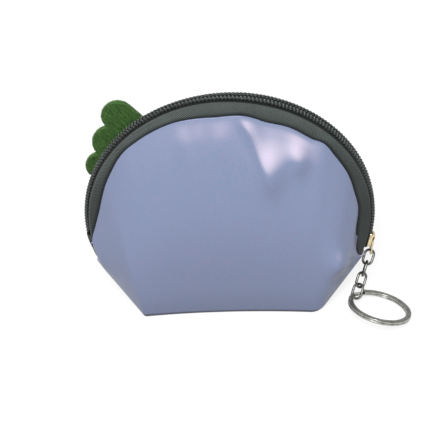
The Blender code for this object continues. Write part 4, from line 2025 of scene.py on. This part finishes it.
@dataclass
class Purse:
    """The whole purse: builds every piece, dresses it and puts each rigid piece on its body."""

    arch: Arch = field(default_factory=Arch)
    body: ClothBody = field(default_factory=ClothBody)
    palette: Palette = field(default_factory=Palette)
    materials: dict[str, bpy.types.Material] = field(default_factory=dict)
    leaf_near_y: float = 7.6 * MM
    leaf_far_y: float = 8.9 * MM
    leaf_near_rim: float = 0.3 * MM
    leaf_far_rim: float = -0.1 * MM
    leaf_hairs: tuple[int, int] = (14000, 11000)
    front_hairs: int = 26000
    bare_hem: float = 3 * MM

    def __post_init__(self) -> None:
        """Make every material once, and lay out the two cloth halves, whose edges the tapes follow."""
        for entry in fields(self.palette):
            self.materials[entry.name] = getattr(self.palette, entry.name).material()
        self.back_half = ClothHalf(self.body, Side.BACK, "back_cloth", BACK_FOLDS, BACK_SEAM)
        self.front_half = ClothHalf(
            self.body, Side.FRONT, "front_cloth", FRONT_FOLDS, FRONT_SEAM, columns=180
        )

    def dress(
        self, obj: bpy.types.Object, slot: str, nodes: Sequence[str], finish: str,
    ) -> None:
        """Give a piece its finish, hide the nodes that it stands for, and log it.

        Args:
            obj: The piece.
            slot: The record's slot that it takes its finish from.
            nodes: The nodes that it stands for, if any.
            finish: The finish, where it isn't the slot's own.
        """
        obj.data.materials.clear()
        obj.data.materials.append(self.materials[finish or slot])
        if nodes:
            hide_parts(*nodes)
        LOG.info("%s: %d faces", obj.name, len(obj.data.polygons))

    def fit(
        self, obj: bpy.types.Object, slot: str, body_name: str, *nodes: str, finish: str = "",
    ) -> None:
        """Dress a rigid piece and put it on its body.

        Args:
            obj: The piece.
            slot: The record's slot.
            body_name: The body that it rides on.
            nodes: The nodes that it stands for, if any.
            finish: The finish, where it isn't the slot's own.
        """
        self.dress(obj, slot, nodes, finish)
        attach(obj, body_name)

    def sew(
        self, obj: bpy.types.Object, slot: str, side: Side, *nodes: str, finish: str = "",
    ) -> None:
        """Dress a piece of one half; a back piece rides on the purse's body, a front piece keeps its
        place baked into its mesh.

        Args:
            obj: The piece.
            slot: The record's slot.
            side: The half that it belongs to.
            nodes: The nodes that it stands for, if any.
            finish: The finish, where it isn't the slot's own.
        """
        if side is Side.BACK:
            self.fit(obj, slot, "purse", *nodes, finish=finish)
            return
        self.dress(obj, slot, nodes, finish)
        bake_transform(obj)

    def cloth(self) -> None:
        """Add the satin back and the plush front, with their linings."""
        back, front = self.back_half, self.front_half
        self.sew(back.build(), "lavender_cloth", back.side, "back_panel")
        plush = front.build()
        pile = PileField("front_pile", self.front_hairs, comb=Vector((0.0, 0.0, -1.0)))
        hairs = pile.grow(
            plush, lambda place, normal: normal.y > 0.15 and place.z > self.bare_hem
        )
        self.sew(plush, "green_plush", front.side, "front_panel_lower", "front_panel_upper")
        self.sew(hairs, "green_plush", front.side)
        for half, name, nodes in (
            (front, "front_lining", ("front_lining_lower", "front_lining_upper")),
            (back, "back_inner_lining", ("back_lining",)),
        ):
            lining = Lining(self.body, half.side, name, half.lift)
            self.sew(lining.build(), "lining_cloth", half.side, *nodes)

    def zip_nodes(self, side: Side, piece: str) -> list[str]:
        """Return the nodes of one tape or coil half, the front one with its two ends."""
        ends = [f"front_{piece}_end_{end}" for end in ("left", "right")]
        return [f"{side.word}_{piece}"] + (ends if side is Side.FRONT else [])

    def zip(self) -> None:
        """Add both tapes with their folded ends, and both coil halves."""
        for half in (self.back_half, self.front_half):
            side, name = half.side, f"{half.side.word}_zip_tape"
            tape = ZipTape(self.arch, self.body, side, name, half.edge_radius)
            self.sew(tape.build(), "zip_tape", side, *self.zip_nodes(side, "tape"))
        for side in Side:
            fold = TapeFold(self.arch, self.body, side, f"{side.word}_tape_fold")
            self.sew(fold.build(), "zip_tape", side)
        for side in Side:
            coil = CoilHalf(self.arch, side, f"{side.word}_coil_turns")
            self.sew(coil.filament(), "zip_coil", side, *self.zip_nodes(side, "coil"))
            self.sew(coil.threads(), "zip_coil", side, finish="thread")
            self.sew(coil.core(), "zip_coil", side, finish="cord")

    def leaf(self) -> None:
        """Add the leaf crest's two layers with their pile."""
        for name, node, slot, middle_y, rim, count in (
            ("leaf_front_plush", "leaf_near_layer", "green_plush", self.leaf_near_y,
             self.leaf_near_rim, self.leaf_hairs[0]),
            ("leaf_rim_plush", "leaf_far_layer", "lime_plush", self.leaf_far_y,
             self.leaf_far_rim, self.leaf_hairs[1]),
        ):
            layer = LeafLayer(self.arch, name, middle_y, rim).build()
            pile = PileField(name + "_pile", count, 0.6 * MM, 0.1 * MM, seed=11)
            hairs = pile.grow(layer, lambda place, normal: True)
            self.fit(layer, slot, "front_flap", node)
            self.fit(hairs, slot, "front_flap")

    def hardware(self) -> None:
        """Add the slider, the pull, the chain and the ring."""
        slider = Slider(self.arch)
        self.fit(slider.build(), "pale_gold", "slider", "slider_body")
        pull = Pull()
        joints = {joint["name"]: joint for joint in frame["joints"]}
        at_bar = Vector(joints["pull_swing"]["pos_m"])
        hanging = slider.seat() @ Matrix.Rotation(-pull.hang, 4, "Y")
        pivot = Matrix.Translation(at_bar) @ hanging.to_3x3().to_4x4()
        self.fit(pull.build(pivot), "pale_gold", "pull", "pull_tab")
        chain = Chain()
        contact = pull.slot_foot() - chain.wire_radius - chain.hook_gap
        links, last = chain.build(pivot @ Vector((0, 0, -contact)))
        for index, link in enumerate(links, 1):
            self.fit(link, "chain_steel", f"link_{index}", f"chain_link_{index}")
        ring = SplitRing(chain).build(last)
        self.fit(ring, "chain_steel", "ring", "split_ring", finish="ring")

    def build(self) -> None:
        """Build the purse."""
        self.cloth()
        self.zip()
        self.leaf()
        self.hardware()


# Ridges and swellings of the back, by their share along the zip from its left end
BACK_FOLDS = (
    Fold(0.413, 0.016, 0.60 * MM, 0.30, 0.02, 0.10, 0.1),
    Fold(0.445, 0.012, 0.40 * MM, 0.26, 0.0, 0.10, 0.1),
    Fold(0.486, 0.020, 0.60 * MM, 0.26, 0.0, 0.10, 0.1),
    Fold(0.528, 0.012, 1.30 * MM, 0.24, 0.25, 0.06),
    Puff(0.592, 0.200, 0.030, 0.100, 2.80 * MM),
    Puff(0.650, 0.115, 0.026, 0.070, 2.40 * MM),
    Puff(0.835, 0.580, 0.055, 0.125, 3.80 * MM),
)
FRONT_FOLDS = (
    Fold(0.42, 0.02, 0.5 * MM, 0.4),
    Fold(0.56, 0.02, 0.5 * MM, 0.4),
)
# How far the back's edge reaches up over the tape, by the share along the zip
BACK_SEAM = (
    (0.0, 4.6 * MM), (0.03, 3.9 * MM), (0.058, 3.0 * MM), (0.093, 0.6 * MM), (0.13, -0.8 * MM),
    (0.165, -0.9 * MM), (0.2, -0.4 * MM), (0.233, 0.1 * MM), (0.262, 0.9 * MM),
    (0.287, 1.3 * MM), (0.31, 1.1 * MM), (0.386, 0.7 * MM), (0.41, 0.4 * MM),
    (0.451, -0.6 * MM), (0.478, -1.1 * MM), (0.506, -0.8 * MM), (0.529, -0.4 * MM),
    (0.555, -1.3 * MM), (0.579, -2.0 * MM), (0.624, -1.2 * MM), (0.675, -1.2 * MM),
    (0.701, 0.2 * MM), (0.739, -0.6 * MM), (0.789, -0.9 * MM), (0.835, -1.6 * MM),
    (0.877, -1.5 * MM), (0.919, -2.3 * MM), (0.95, -1.9 * MM), (0.975, -0.9 * MM),
    (1.0, 1.3 * MM),
)
FRONT_SEAM = ((0.0, 5.3 * MM), (0.03, 4.7 * MM), (0.07, 1.2 * MM), (0.12, 0.0), (1.0, 0.0))


@dataclass
class Studio:
    """The camera at the photograph's view, the pale floor and the soft lights."""

    target: Vector = field(default_factory=lambda: Vector((-5.924, 0.0, 39.107)) * MM)
    distance: float = 600 * MM
    azimuth: float = math.radians(0.971)
    elevation: float = math.radians(38)
    roll: float = math.radians(1.994)
    lens: float = 123.0
    sensor: float = 36.0
    floor_size: float = 6.0
    floor_drop: float = 0.05 * MM
    sky: float = 0.38
    floor_glow: float = 0.82
    key_place: tuple[float, float, float] = (-0.10, -0.74, 0.99)
    key_size: float = 0.4
    key_power: float = 12.8

    def camera(self) -> None:
        """Add the camera."""
        azimuth, elevation = self.azimuth, self.elevation
        back = Vector((
            math.sin(azimuth) * math.cos(elevation), -math.cos(azimuth) * math.cos(elevation),
            math.sin(elevation),
        ))
        right = Vector((math.cos(azimuth), math.sin(azimuth), 0.0))
        up = back.cross(right)
        across = right * math.cos(self.roll) - up * math.sin(self.roll)
        above = right * math.sin(self.roll) + up * math.cos(self.roll)
        data = bpy.data.cameras.new("camera")
        data.lens = self.lens
        data.sensor_width = self.sensor
        data.clip_start = 0.01
        data.clip_end = 20.0
        camera = Bench.link("camera", data)
        camera.matrix_world = axes(self.target + back * self.distance, across, above, back)
        bpy.context.scene.camera = camera

    def floor(self) -> None:
        """Add the floor, white to the camera but with the purse's shadow."""
        obj = Bench.add(
            "studio_floor", bpy.ops.mesh.primitive_plane_add,
            size=self.floor_size, location=(0, 0, -self.floor_drop),
        )
        make = Shader("studio_floor")
        path = [make.node("ShaderNodeLightPath", output=name) for name in
                ("Is Camera Ray", "Is Glossy Ray", "Is Transmission Ray")]
        seen = path[0].math("MAXIMUM", path[1]).math("MAXIMUM", path[2])
        dust = make.noise(make.place(), 20 * MM).spread(0.24, 0.25)
        material = make.finish(base_color=make.grey(dust), roughness=0.9, specular_ior_level=0.0)
        glow = make.node("ShaderNodeEmission", None, {0: color(1, 1, 1), 1: seen * self.floor_glow})
        both = make.node(
            "ShaderNodeAddShader", None,
            {0: Socket(make, make.principled.outputs[0]), 1: glow},
        )
        output = make.tree.nodes["Material Output"]
        make.feed(output.inputs["Surface"], both)
        obj.data.materials.append(material)

    def key_lamp(self) -> None:
        """Add a square soft lamp that looks at the purse."""
        data = bpy.data.lights.new("key_lamp", "AREA")
        data.size = self.key_size
        data.energy = self.key_power
        lamp = Bench.link("key_lamp", data)
        lamp.location = self.key_place
        aim = self.target - Vector(self.key_place)
        lamp.rotation_euler = aim.to_track_quat("-Z", "Y").to_euler()

    def sky_light(self) -> None:
        """Light everything softly, with white behind it all."""
        world = bpy.data.worlds.new("studio")
        bpy.context.scene.world = world
        world.use_nodes = True
        tree = world.node_tree
        path = tree.nodes.new("ShaderNodeLightPath")
        background = tree.nodes["Background"]
        pick = tree.nodes.new("ShaderNodeMix")
        pick.data_type = "FLOAT"
        tree.links.new(path.outputs["Is Camera Ray"], pick.inputs[0])
        pick.inputs[2].default_value = self.sky
        pick.inputs[3].default_value = 1.0
        tree.links.new(pick.outputs[0], background.inputs["Strength"])
        background.inputs["Color"].default_value = color(1, 1, 1)

    def build(self) -> None:
        """Set up the studio."""
        self.camera()
        self.floor()
        self.sky_light()
        self.key_lamp()
        bpy.context.scene.view_settings.view_transform = "Standard"


def main() -> None:
    """Build the studio and the purse."""
    logging.basicConfig(level=logging.INFO, format="%(message)s")
    Studio().build()
    Purse().build()


if __name__ == "__main__":
    main()
